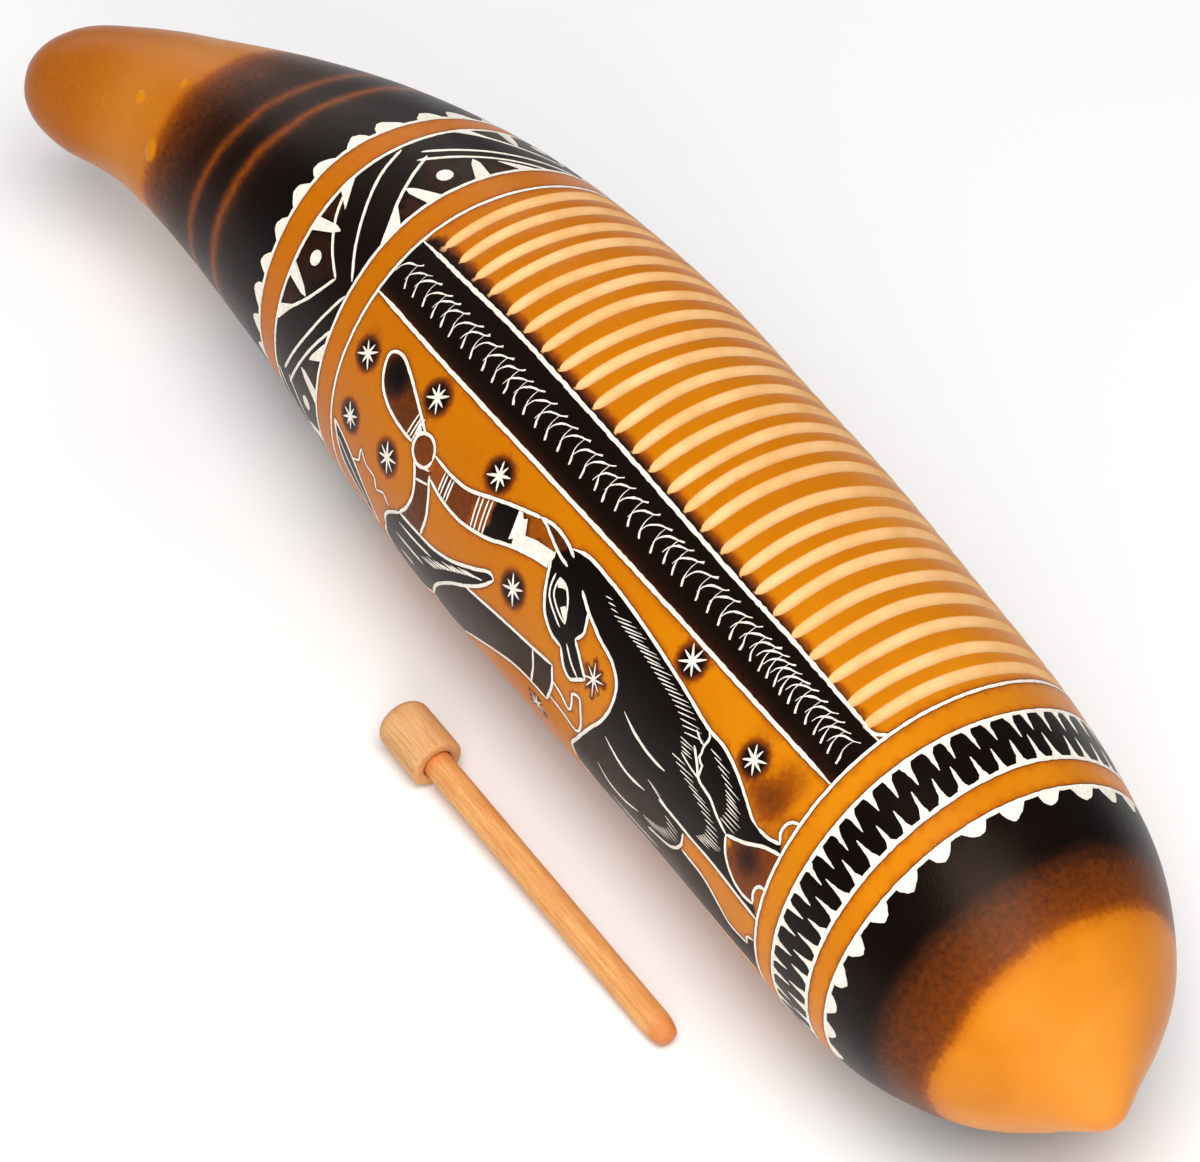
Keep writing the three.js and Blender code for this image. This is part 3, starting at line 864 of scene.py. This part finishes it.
# the rasp
flesh = np.zeros(len(co))
groove_depth = np.zeros(len(co))
t = (angle - GROOVE_FROM) / (GROOVE_TO - GROOVE_FROM)
inside_t = np.clip(t, 0, 1)
half = np.maximum(groove_half(inside_t), 1e-3)
run = np.clip(np.minimum(t, 1 - t) / 0.03, 0, 1) ** 0.6 * (0.8 + 0.2 * np.sin(math.pi * inside_t))
for k in range(len(GROOVES)):
    q = np.abs(x - groove_middle(k, angle)) / half
    on = (q < 1.2) & (t > -0.001) & (t < 1.001)
    bowl = GROOVE_DEPTH * (1 - 0.55 * smoothstep(0.0, 1.0, q) - 0.45 * smoothstep(0.55, 1.0, q))
    groove_depth = np.where(on, np.maximum(groove_depth, bowl * run), groove_depth)
    flesh = np.where(on, np.maximum(flesh, 1 - smoothstep(0.84, 1.1, q)), flesh)
depth = depth + groove_depth

# burn: how dark the skin is, from the bands, the figures, the halos and the edges of the cuts
def inside(poly, q):
    """Which of the points q lie inside a closed outline."""
    hit = np.zeros(len(q), bool)
    box = ((q >= poly.min(0)) & (q <= poly.max(0))).all(1)
    px, py = q[box].T
    got = np.zeros(len(px), bool)
    for (x1, y1), (x2, y2) in zip(poly, np.roll(poly, -1, 0)):
        if y1 != y2:
            got ^= ((y1 > py) != (y2 > py)) & (px < (x2 - x1) * (py - y1) / (y2 - y1) + x1)
    hit[box] = got
    return hit


lines = rings_at(angle)
burn = np.zeros(len(co))
burn[(x > lines["braid_1"]) & (x < lines["braid_2"])] = 0.97
burn[(x > lines["teeth_1"]) & (x < lines["teeth_2"])] = 1.0
burn[(x < lines["scallop_1"]) & (x > BLACK_FROM)] = 1.0
burn[(x > lines["scallop_2"]) & (x < BLACK_TO)] = 1.0
for side, near_rasp, away in ((1, STRIP_TOP, STRIP_LOW), (-1, FAR_TOP, FAR_LOW)):
    from_near = side * (angle - np.interp(x, *np.array(near_rasp).T))
    from_away = side * (np.interp(x, *np.array(away).T) - angle)
    strip = (from_near > 0) & (from_away > 0) & (x > lines["panel_1"]) & (x < lines["panel_2"])
    burn[strip] = (0.98 - 0.2 * smoothstep(4.5, 0.3, from_away))[strip]
for poly, value in fills:
    burn[inside(poly, co)] = value
for hx, hv, radius, value in halos:
    far = np.hypot(x - hx, v - hv) / radius
    if value >= 1:
        burn = np.maximum(burn, 0.97 * (1 - smoothstep(0.42, 1.2, far)))
    else:
        burn = np.minimum(1, burn + value * (1 - smoothstep(0.1, 1.1, far)))
# scorched skin around the ends of the grooves: the angles where it starts, where it is full and
# where it ends, the stretch along the gourd, and how dark it is
for start, full, end, x0, x1, dark in (
    (13.2, 19.0, 30, -77, 103, 0.92), (-72, -80, -90, -75, 97, 0.85),
):
    here = ((angle - end) * (full - end) > 0) & (x > x0) & (x < x1)
    burn = np.maximum(burn, smoothstep(start, full, angle) * here * dark * (1 - flesh))
edge_burn = 0.6 * np.exp(-(distance / 0.3) ** 2) + 0.11 * np.exp(-distance / 1.3)
burn = np.maximum(burn, np.where(in_cut, 0, edge_burn)) * (1 - flesh)
near_hole = np.min([np.hypot(x - x0, v - HOLE_ANGLE * VS) for x0 in HOLES], axis=0) - HOLE_RADIUS
burn = np.maximum(burn, 0.75 * (1 - smoothstep(0, HOLE_SCORCH, near_hole)))


def share(mm):
    """A place along the gourd as the value that the skin carries."""
    return mm / SHARE_SCALE + 0.5


def straighten(x, lines):
    """The distance along the gourd with the rings made straight, for the soft bands."""
    knots = [np.full(len(x), GOURD_FROM), *lines.values(), np.full(len(x), GOURD_TO)]
    values = [GOURD_FROM, *(row[2] for row in RINGS.values()), GOURD_TO]
    out = np.full(len(x), GOURD_FROM)
    for a, b, low, high in zip(knots, knots[1:], values, values[1:]):
        on = (x >= a) & (x <= b)
        out = np.where(on, low + (high - low) * (x - a) / (b - a), out)
    return out


class Body:
    """Triangles in mm, gathered with a material slot each and the values that a material reads
    at their points."""

    def __init__(self):
        self.co, self.tri, self.slot, self.values, self.count = [], [], [], [], 0

    def add(self, co, tri, slot, values):
        self.co.append(co)
        self.tri.append(np.asarray(tri) + self.count)
        self.slot.append(np.broadcast_to(slot, len(tri)))
        self.values.append(np.broadcast_to(values, (len(co), 4)))
        self.count += len(co)


def from_drop(x, angle, dx, degrees, rx, rv):
    """How far a place is from the middle of a drop: 1 on the drop's edge."""
    return np.hypot((x - dx) / rx, (angle - degrees) * NECK_DEGREE / rv)


def surface_values(x, angle, burn, flesh):
    """The four values of the skin: burn, flesh, along and drop."""
    drop = np.zeros(len(x))
    for *place, _ in DROPS:
        drop = np.maximum(drop, 1 - smoothstep(0.7, 1.05, from_drop(x, angle, *place)))
    return np.stack([burn, flesh, share(straighten(x, rings_at(angle))), drop], 1)


def drop_height(x, angle):
    """How thick the varnish stands in its drops, in mm."""
    rise = np.zeros(len(x))
    for *place, high in DROPS:
        q = from_drop(x, angle, *place)
        rise = np.maximum(rise, high * np.clip(1 - q * q, 0, 1) ** 0.7)
    return rise


gourd = Body()
radius = outer_radius(x, angle) - depth + drop_height(x, angle)
gourd.add(wrap(x, angle, radius), tri, np.where(kind == CUT, CUT_SLOT, SKIN_SLOT),
          surface_values(x, angle, burn, flesh))


def bands(rows, count):
    """Triangles between rings of count points that follow one another."""
    out = []
    for j in range(rows):
        for i in range(count):
            a, b = j * count + i, j * count + (i + 1) % count
            out += [(a, b, b + count), (a, b + count, a + count)]
    return out


def cap(profile, radius_at, x_edge, rows, slot):
    """Rings of triangles from the end of a chart to the pole."""
    edge = (x_edge, np.interp(x_edge, *profile.T))
    if x_edge < 0:
        past = profile[profile[:, 0] < x_edge][::-1]
    else:
        past = profile[profile[:, 0] > x_edge]
    xs, rs = even(np.vstack([edge, past]), count=rows + 1).T
    x = np.repeat(xs[:-1], AROUND)
    angle = np.tile(np.linspace(-180, 180, AROUND, endpoint=False), rows)
    r = np.repeat(rs[:-1], AROUND) + radius_at(x, angle) - np.interp(x, *profile.T)
    x, angle, r = np.r_[x, xs[-1]], np.r_[angle, 0], np.r_[r, 0]
    last = (rows - 1) * AROUND
    tri = bands(rows - 1, AROUND)
    tri += [(last + i, last + (i + 1) % AROUND, rows * AROUND) for i in range(AROUND)]
    way = 1 if (x_edge < 0) == (slot == SKIN_SLOT) else -1
    values = surface_values(x, angle, 0 * x, 0 * x) if slot == SKIN_SLOT else np.zeros(4)
    gourd.add(wrap(x, angle, r), np.array(tri)[:, ::way], slot, values)


for x_edge in (CHART_FROM, CHART_TO):
    cap(OUTER, outer_radius, x_edge, 9, SKIN_SLOT)

# ---- the hollow, and the rims of the holes -----------------------------------------------------
INNER_FROM, INNER_TO = -198.0, 164.0


def on_wall(p, radius_at):
    """Chart points in space, on the skin or on the inner wall."""
    return wrap(p[:, 0], p[:, 1] / VS, radius_at(p[:, 0], p[:, 1] / VS))


inner_points, inner_faces = [], []
inner_rims = [cut_hole(inner_points, inner_faces, x0, HOLE_RADIUS, HOLE_IN) for x0 in HOLES]
field = grid_points(INNER_FROM + 3, INNER_TO - 3, -SEAM + 3, SEAM - 3, 5.5)
field = field[nearest(field, inner_points) > 2.0]
inner_co, inner_tri, _ = triangulate([*inner_points, *map(tuple, field)], inner_faces,
                                     [HOLE] * len(HOLES), INNER_FROM, INNER_TO, 5.5)
gourd.add(on_wall(inner_co, inner_radius), inner_tri[:, ::-1], RIND_SLOT, np.zeros(4))
for x_edge in (INNER_FROM, INNER_TO):
    cap(INNER, inner_radius, x_edge, 6, RIND_SLOT)

for x0, outer_loop, inner_loop in zip(HOLES, hole_rims, inner_rims):
    lip = on_wall(hole_loop(x0, HOLE_RADIUS + 0.18, HOLE_OUT), outer_radius)
    edge = on_wall(hole_loop(x0, HOLE_RADIUS, HOLE_OUT), outer_radius)
    end = on_wall(inner_loop, inner_radius)
    through = end - edge
    rows = [on_wall(outer_loop, outer_radius), lip + through * 0.035, edge + through * 0.13,
            edge + through * 0.5, end]
    gourd.add(np.vstack(rows), bands(len(rows) - 1, HOLE_POINTS), RIND_SLOT, (0.85, 0, 0, 0))


# ---- materials ---------------------------------------------------------------------------------
def linear(*rgb):
    """8-bit display colour to linear, with alpha."""
    return tuple((c / 12.92 if c <= 0.04045 else ((c + 0.055) / 1.055) ** 2.4)
                 for c in (v / 255 for v in rgb)) + (1.0,)


class Nodes:
    """A small hand for node trees."""

    def __init__(self, name):
        self.material = bpy.data.materials.new(name)
        self.material.use_nodes = True
        self.tree = self.material.node_tree
        self.shader = self.tree.nodes["Principled BSDF"]

    def add(self, kind, inputs=(), **settings):
        node = self.tree.nodes.new("ShaderNode" + kind)
        for key, value in settings.items():
            setattr(node, key, value)
        for key, value in dict(inputs).items():
            if isinstance(value, bpy.types.NodeSocket):
                self.tree.links.new(value, node.inputs[key])
            else:
                node.inputs[key].default_value = value
        return node

    def math(self, op, a, b=0.0, clamp=False):
        return self.add("Math", {0: a, 1: b}, operation=op, use_clamp=clamp).outputs[0]

    def ramp(self, value, stops):
        """Colours, or greys from 0 to 1, by a value."""
        node = self.add("ValToRGB", {0: value})
        band = node.color_ramp.elements
        while len(band) < len(stops):
            band.new(0.5)
        for element, (at, colour) in zip(band, stops):
            element.position = at
            element.color = colour if hasattr(colour, "__len__") else (colour,) * 3 + (1.0,)
        return node.outputs[0]

    def mix(self, share, a, b):
        return self.add("Mix", {0: share, 6: a, 7: b}, data_type="RGBA").outputs[2]

    def blotches(self, value, low, high, a, b):
        """Colour a where the value is under low, turning to b where it is over high."""
        return self.mix(self.ramp(value, [(low, 0.0), (high, 1.0)]), a, b)

    def tint(self, colour, value, strength, other):
        """Another colour laid over by a value."""
        return self.mix(self.math("MULTIPLY", value, strength), colour, other)

    def swing(self, value, size):
        """A noise value turned to run around zero."""
        return self.math("MULTIPLY", self.math("SUBTRACT", value, 0.5), size)

    def noise(self, scale, detail, rough, vector=None, distortion=0.0):
        inputs = {"Scale": scale, "Detail": detail, "Roughness": rough, "Distortion": distortion}
        if vector is not None:
            inputs["Vector"] = vector
        return self.add("TexNoise", inputs).outputs["Fac"]

    def attribute(self, name):
        return self.add("Attribute", attribute_name=name).outputs["Fac"]

    def range(self, value, a, b, c=0.0, d=1.0):
        return self.add("MapRange", {0: value, 1: a, 2: b, 3: c, 4: d}).outputs[0]

    def bump(self, height, strength, distance):
        node = self.add("Bump", {"Height": height, "Strength": strength, "Distance": distance})
        self.tree.links.new(node.outputs[0], self.shader.inputs["Normal"])

    def set(self, **sockets):
        for key, value in sockets.items():
            socket = self.shader.inputs[key.replace("_", " ")]
            if isinstance(value, bpy.types.NodeSocket):
                self.tree.links.new(value, socket)
            else:
                socket.default_value = value
        return self.material


def skin_material():
    n = Nodes("gourd_skin")
    place = n.add("TexCoord").outputs["Object"]
    burn, flesh = n.attribute("burn"), n.attribute("flesh")
    along, drop = n.attribute("along"), n.attribute("drop")
    mottle = n.noise(28, 3, 0.5, place)
    cloud = n.noise(90, 3, 0.6, place)
    fine = n.noise(700, 4, 0.6, place)
    grain = n.noise(2600, 2, 0.5, place)

    # the scorched bands of both ends, dark towards the engraving
    where = n.math("ADD", along, n.swing(cloud, 0.006))
    neck_burn = n.ramp(n.range(where, share(-180), share(-118)), [
        (0.00, 0.0), (0.12, 0.0), (0.19, 0.4), (0.235, 0.6), (0.32, 0.7), (0.42, 0.84), (0.475, 0.8),
        (0.515, 0.46), (0.555, 0.82), (0.60, 0.95), (0.645, 0.9), (0.69, 0.42), (0.735, 0.82),
        (0.79, 0.96), (0.9, 1.0), (0.985, 1.0), (1.0, 0.0),
    ])
    blossom_burn = n.ramp(n.range(where, share(131), share(171)), [
        (0.0, 0.0), (0.03, 1.0), (0.29, 1.0), (0.36, 0.76), (0.44, 0.64), (0.56, 0.57), (0.64, 0.5),
        (0.70, 0.2), (0.76, 0.05), (0.86, 0.0),
    ])
    dark = n.math("MAXIMUM", burn, n.math("MAXIMUM", neck_burn, blossom_burn))
    middle = n.math("MULTIPLY", n.math("MULTIPLY", dark, n.math("SUBTRACT", 1.0, dark)), 4.0)
    rough_edge = n.math("MULTIPLY", n.swing(fine, 0.34), middle)
    dark = n.math("ADD", dark, rough_edge, clamp=True)

    # the golden ground
    ground = n.ramp(along, [(share(mm), linear(*colour)) for mm, colour in (
        (-212, (168, 92, 24)), (-196, (176, 98, 24)), (-182, (198, 122, 42)), (-172, (196, 118, 36)),
        (-160, (198, 110, 12)), (-100, (196, 108, 1)), (0, (201, 117, 1)), (60, (210, 127, 3)),
        (140, (219, 133, 16)), (160, (226, 140, 34)), (186, (226, 142, 58)),
    )])
    deeper = n.blotches(mottle, 0.38, 0.66, ground, linear(187, 101, 2))
    ground = n.mix(0.5, ground, deeper)
    speck = n.ramp(fine, [(0.56, 0.0), (0.72, 1.0)])
    ground = n.tint(ground, speck, 0.16, linear(232, 150, 22))
    burnt = n.ramp(dark, [
        (0.0, linear(204, 114, 6)), (0.14, linear(186, 98, 6)), (0.3, linear(154, 76, 8)),
        (0.5, linear(116, 54, 11)), (0.72, linear(62, 28, 11)), (0.86, linear(31, 13, 6)),
        (1.0, linear(9, 4, 3)),
    ])
    skin = n.mix(n.range(dark, 0.0, 0.32), ground, burnt)

    # the pale flesh in the grooves, and the drops of varnish
    cream = n.blotches(cloud, 0.35, 0.7, linear(248, 204, 146), linear(236, 182, 116))
    fibre_place = n.add("Mapping", {"Vector": place, "Scale": (1.0, 0.12, 0.12)}).outputs[0]
    cream = n.tint(cream, n.noise(1500, 3, 0.6, fibre_place), 0.22, linear(214, 152, 84))
    skin = n.mix(flesh, skin, cream)
    skin = n.tint(skin, drop, 0.8, linear(214, 132, 18))
    n.bump(n.math("ADD", n.math("MULTIPLY", fine, 0.6), n.math("MULTIPLY", grain, 0.35)), 0.16, 0.0006)
    gloss = n.math("ADD", n.range(dark, 0.0, 1.0, 0.33, 0.36), n.swing(cloud, 0.16))
    gloss = n.math("ADD", gloss, n.math("MULTIPLY", flesh, 0.24))
    gloss = n.math("SUBTRACT", gloss, n.math("MULTIPLY", drop, 0.2))
    return n.set(Base_Color=skin, Roughness=gloss, Specular_IOR_Level=0.13,
                 Specular_Tint=linear(255, 214, 190), Coat_Weight=0.0)


def cut_material():
    n = Nodes("cut_white")
    place = n.add("TexCoord").outputs["Object"]
    fine = n.noise(1100, 3, 0.6, place)
    colour = n.blotches(fine, 0.4, 0.75, linear(250, 245, 236), linear(232, 216, 192))
    colour = n.tint(colour, n.noise(160, 2, 0.5, place), 0.14, linear(240, 214, 170))
    n.bump(fine, 0.25, 0.0004)
    return n.set(Base_Color=colour, Roughness=n.range(fine, 0.2, 0.8, 0.62, 0.82),
                 Specular_IOR_Level=0.3)


def rind_material():
    n = Nodes("bare_rind")
    place = n.add("TexCoord").outputs["Object"]
    fine = n.noise(420, 4, 0.65, place)
    colour = n.blotches(fine, 0.35, 0.7, linear(196, 158, 108), linear(150, 108, 62))
    colour = n.tint(colour, n.noise(60, 3, 0.5, place), 0.3, linear(120, 80, 44))
    colour = n.tint(colour, n.attribute("burn"), 0.55, linear(112, 62, 26))
    n.bump(fine, 0.4, 0.001)
    return n.set(Base_Color=colour, Roughness=n.range(fine, 0.2, 0.8, 0.72, 0.9),
                 Specular_IOR_Level=0.25)


# ---- meshes ------------------------------------------------------------------------------------
JOIN_GAP = 2e-6             # metres: open edges closer than this are joined


def joined(co, tri, slot):
    """Triangles whose open edges share points where they meet, without the flattened ones."""
    codes, counts = np.unique(code_of(edges_of(tri)), return_counts=True)
    open_points = set(np.unique(np.divmod(codes[counts == 1], CODE_STEP)).tolist())
    tree = tree_of(co)
    target = np.arange(len(co))
    for i in sorted(open_points):
        target[i] = min(j for _, j, _ in tree.find_range(co[i], JOIN_GAP) if j in open_points)
    tri = target[tri]
    good = (tri != np.roll(tri, 1, axis=1)).all(1)
    return tri[good], slot[good]


def mark_sharp(mesh, tri, slot):
    """Crisp edges where two finishes meet."""
    sharp = code_of(where_kinds_meet(tri, slot))
    ends = np.zeros(len(mesh.edges) * 2, np.int32)
    mesh.edges.foreach_get("vertices", ends)
    mark = np.isin(code_of(np.sort(ends.reshape(-1, 2), axis=1)), sharp)
    mesh.attributes.new("sharp_edge", "BOOLEAN", "EDGE").data.foreach_set("value", mark)


def add_object(name, data):
    made = bpy.data.objects.new(name, data)
    bpy.context.scene.collection.objects.link(made)
    return made


def make_gourd():
    co = np.vstack(gourd.co) * MM
    tri, slot = joined(co, np.vstack(gourd.tri), np.concatenate(gourd.slot))
    tri, co, values = compact(tri[:, ::-1], co, np.vstack(gourd.values))
    mesh = bpy.data.meshes.new("gourd_engraved")
    mesh.from_pydata(co.tolist(), [], tri.tolist())
    mesh.polygons.foreach_set("material_index", slot.astype(np.int32))
    mesh.polygons.foreach_set("use_smooth", np.ones(len(tri), bool))
    for name, column in zip(("burn", "flesh", "along", "drop"), values.T):
        layer = mesh.attributes.new(name, "FLOAT", "POINT")
        layer.data.foreach_set("value", column.astype(np.float32))
    mark_sharp(mesh, tri, slot)
    mesh.validate()
    for material in (skin_material(), cut_material(), rind_material()):
        mesh.materials.append(material)
    return add_object("gourd_engraved", mesh)


gourd_piece = make_gourd()
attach(gourd_piece, "gourd")
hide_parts("gourd_shell")

# ---- the stick ---------------------------------------------------------------------------------
HEAD_RADIUS, HEAD_LENGTH, HEAD_BACK_ROUND, HEAD_FRONT_BEVEL = 6.6, 16.7, 3.6, 0.9
SHAFT_RADIUS, SHAFT_REACH, SHAFT_TIP_LENGTH, SHAFT_TIP_RADIUS = 3.5, 92.5, 7.0, 1.5
SHAFT_IN_BORE, BORE_DEPTH = 10.5, 11.0
BORE_RADIUS = SHAFT_RADIUS + 0.3
HEAD_BACK_DEPTH = 0.8 * HEAD_BACK_ROUND
HEAD_WIDE_FROM = 4.2 - HEAD_LENGTH
STICK_BACK = (-20.1, -60.8)
STICK_HEADING, STICK_DROP = math.radians(1.3), math.radians(2.05)
HEAD_AXIS_HEIGHT = 7.17
AXIS_GAP = 0.02             # radius of the flat left where a profile meets the axis


def turned(name, profile, around=64, wobble=0.05, phase=0.0):
    """A lathe form about +Y in mm, laid along the stick. profile is (radius, distance)."""
    heading = Vector((math.cos(STICK_HEADING) * math.cos(STICK_DROP),
                      math.sin(STICK_HEADING) * math.cos(STICK_DROP), -math.sin(STICK_DROP)))
    turn = Vector((0, 1, 0)).rotation_difference(heading)
    origin = Vector((*STICK_BACK, HEAD_AXIS_HEIGHT)) + heading * HEAD_LENGTH
    co, quads = [], []
    for j, (r, y) in enumerate(profile):
        for i in range(around):
            a = math.tau * i / around
            swell = math.sin(2 * a + y / 9 + phase) * math.cos(3 * a - y / 23)
            uneven_r = r - wobble * r / 4 * (1 + swell) / 2
            co.append(Vector((uneven_r * math.sin(a), y, uneven_r * math.cos(a))))
    for j in range(len(profile) - 1):
        for i in range(around):
            a, b = j * around + i, j * around + (i + 1) % around
            quads.append((a, b, b + around, a + around))
    quads.append(tuple(range(around))[::-1])
    quads.append(tuple((len(profile) - 1) * around + i for i in range(around)))
    mesh = bpy.data.meshes.new(name)
    mesh.from_pydata([(origin + turn @ p) * MM for p in co], [], quads)
    layer = mesh.attributes.new("own", "FLOAT_VECTOR", "POINT")
    for item, p in zip(layer.data, co):
        item.vector = p
    for polygon in mesh.polygons:
        polygon.use_smooth = True
    mesh.validate()
    return add_object(name, mesh)


def wood_material(name, light, dark, end_colour, back, front, end_shares):
    """Wood that takes the end colour by shares between two distances along the stick."""
    n = Nodes(name)
    own = n.add("Attribute", attribute_name="own").outputs["Vector"]
    long = n.add("Mapping", {"Vector": own, "Scale": (1.0, 0.06, 1.0)}).outputs[0]
    grain = n.noise(1.3, 4, 0.6, long, 0.4)
    pores = n.noise(7.0, 3, 0.6, long)
    cloud = n.noise(0.12, 2, 0.5, own)
    split = n.add("SeparateXYZ", {0: own}).outputs
    colour = n.blotches(grain, 0.36, 0.64, light, dark)
    pore_lines = n.ramp(pores, [(0.52, 0.0), (0.66, 1.0)])
    colour = n.tint(colour, pore_lines, 0.35, linear(166, 98, 48))
    colour = n.tint(colour, cloud, 0.25, linear(214, 138, 70))
    colour = n.mix(n.ramp(n.range(split[1], back, front), end_shares), colour, end_colour)
    n.bump(n.math("ADD", grain, n.math("MULTIPLY", pores, 0.6)), 0.22, 0.0004)
    return n.set(Base_Color=colour, Roughness=n.range(grain, 0.3, 0.7, 0.5, 0.62),
                 Specular_IOR_Level=0.4)


def quarter(steps):
    """The sine, and one less the cosine, of a quarter turn in even steps."""
    return [(math.sin(a), 1 - math.cos(a)) for a in np.linspace(0, math.pi / 2, steps + 1)[1:]]


head_profile = [(AXIS_GAP, -HEAD_LENGTH), (HEAD_RADIUS - HEAD_BACK_ROUND, -HEAD_LENGTH)]
head_profile += [(HEAD_RADIUS - HEAD_BACK_ROUND * (1 - up), HEAD_BACK_DEPTH * over - HEAD_LENGTH)
                 for up, over in quarter(8)]
head_profile += [(HEAD_RADIUS, y) for y in np.linspace(HEAD_WIDE_FROM, -HEAD_FRONT_BEVEL, 7)]
head_profile += [(HEAD_RADIUS - HEAD_FRONT_BEVEL * over, HEAD_FRONT_BEVEL * (up - 1))
                 for up, over in quarter(4)]
head_profile += [(5.0, 0.0), (4.25, -0.02), (BORE_RADIUS, -0.35), (BORE_RADIUS, -BORE_DEPTH),
                 (AXIS_GAP, -BORE_DEPTH)]
head = turned("scraper_head_turned", head_profile)

TIP_STEPS = 10
TIP_FROM = SHAFT_REACH - SHAFT_TIP_LENGTH
shaft_profile = [(AXIS_GAP, -SHAFT_IN_BORE), (SHAFT_RADIUS, -SHAFT_IN_BORE)]
shaft_profile += [(SHAFT_RADIUS, y) for y in np.linspace(-9, TIP_FROM, 26)]
for t in np.linspace(0, 1, TIP_STEPS + 1)[1:]:
    r = SHAFT_TIP_RADIUS + (SHAFT_RADIUS - SHAFT_TIP_RADIUS) * math.sqrt(max(0, 1 - t ** 2.2))
    shaft_profile.append((r, min(TIP_FROM + SHAFT_TIP_LENGTH * t, SHAFT_REACH - 0.25)))
shaft_profile += [(1.0, SHAFT_REACH - 0.08), (AXIS_GAP, SHAFT_REACH)]
shaft = turned("scraper_shaft_turned", shaft_profile, 48, 0.06, 2.0)
head.data.materials.append(wood_material(
    "head_wood", linear(229, 182, 126), linear(208, 150, 93), linear(192, 126, 72),
    -17.0, 0.5, [(0.0, 0.5), (0.06, 0.45), (0.2, 0.0), (0.9, 0.0), (1.0, 0.35)]))
shaft.data.materials.append(wood_material(
    "shaft_wood", linear(236, 177, 108), linear(217, 145, 79), linear(203, 106, 46),
    -1.0, 93.0, [(0.0, 0.9), (0.03, 0.25), (0.05, 0.0), (0.93, 0.0), (0.97, 0.55), (1.0, 0.7)]))
for piece, node in ((head, "scraper_head"), (shaft, "scraper_shaft")):
    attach(piece, "scraper")
    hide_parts(node)

# ---- floor, light and camera -------------------------------------------------------------------
scene = bpy.context.scene
scene.view_settings.view_transform = "Standard"

FLOOR_HALF = 3
floor_corners = [(x * FLOOR_HALF, y * FLOOR_HALF, 0) for x, y in ((-1, -1), (1, -1), (1, 1), (-1, 1))]
floor_mesh = bpy.data.meshes.new("floor")
floor_mesh.from_pydata(floor_corners, [], [(0, 1, 2, 3)])
pale = Nodes("pale_floor")
pale_colour = pale.mix(pale.noise(3, 2, 0.5), (0.90, 0.90, 0.90, 1), (0.93, 0.93, 0.925, 1))
floor_mesh.materials.append(
    pale.set(Base_Color=pale_colour, Roughness=0.75, Specular_IOR_Level=0.2))
add_object("floor", floor_mesh)

world = bpy.data.worlds.new("studio")
world.use_nodes = True
background = world.node_tree.nodes["Background"].inputs
background["Color"].default_value = (1.0, 1.0, 1.0, 1)
background["Strength"].default_value = 0.25
scene.world = world


def softbox(name, place, target, size, power):
    light = bpy.data.lights.new(name, "AREA")
    light.shape = "RECTANGLE"
    light.size, light.size_y = size
    light.energy = power
    lamp = add_object(name, light)
    lamp.location = place
    lamp.rotation_euler = (Vector(target) - Vector(place)).to_track_quat("-Z", "Y").to_euler()


# name, place, what it faces, width and height, watts
softbox("overhead", (0.5, -0.28, 1.38), (0, 0, 0.05), (1.0, 1.0), 20.5)
softbox("front", (1.4, -1.0, 0.9), (0, 0, 0.05), (0.9, 0.9), 11)
softbox("behind", (-1.4, 0.35, 0.62), (-0.1, 0, 0.05), (1.3, 0.6), 5)

CAMERA_AZIMUTH, CAMERA_ELEVATION = math.radians(57), math.radians(48)
CAMERA_DISTANCE, CAMERA_LENS = 1.4, 186.9
CAMERA_TARGET = Vector((0, -0.0188, 0.047))
camera_data = bpy.data.cameras.new("camera")
camera_data.sensor_width = 36.0
camera_data.sensor_fit = "HORIZONTAL"
camera_data.lens = CAMERA_LENS
camera_data.clip_end = 20
camera = add_object("camera", camera_data)
away = Vector((math.sin(CAMERA_AZIMUTH) * math.cos(CAMERA_ELEVATION),
               -math.cos(CAMERA_AZIMUTH) * math.cos(CAMERA_ELEVATION), math.sin(CAMERA_ELEVATION)))
camera.location = CAMERA_TARGET + away * CAMERA_DISTANCE
camera.rotation_euler = (-away).to_track_quat("-Z", "Y").to_euler()
scene.camera = camera
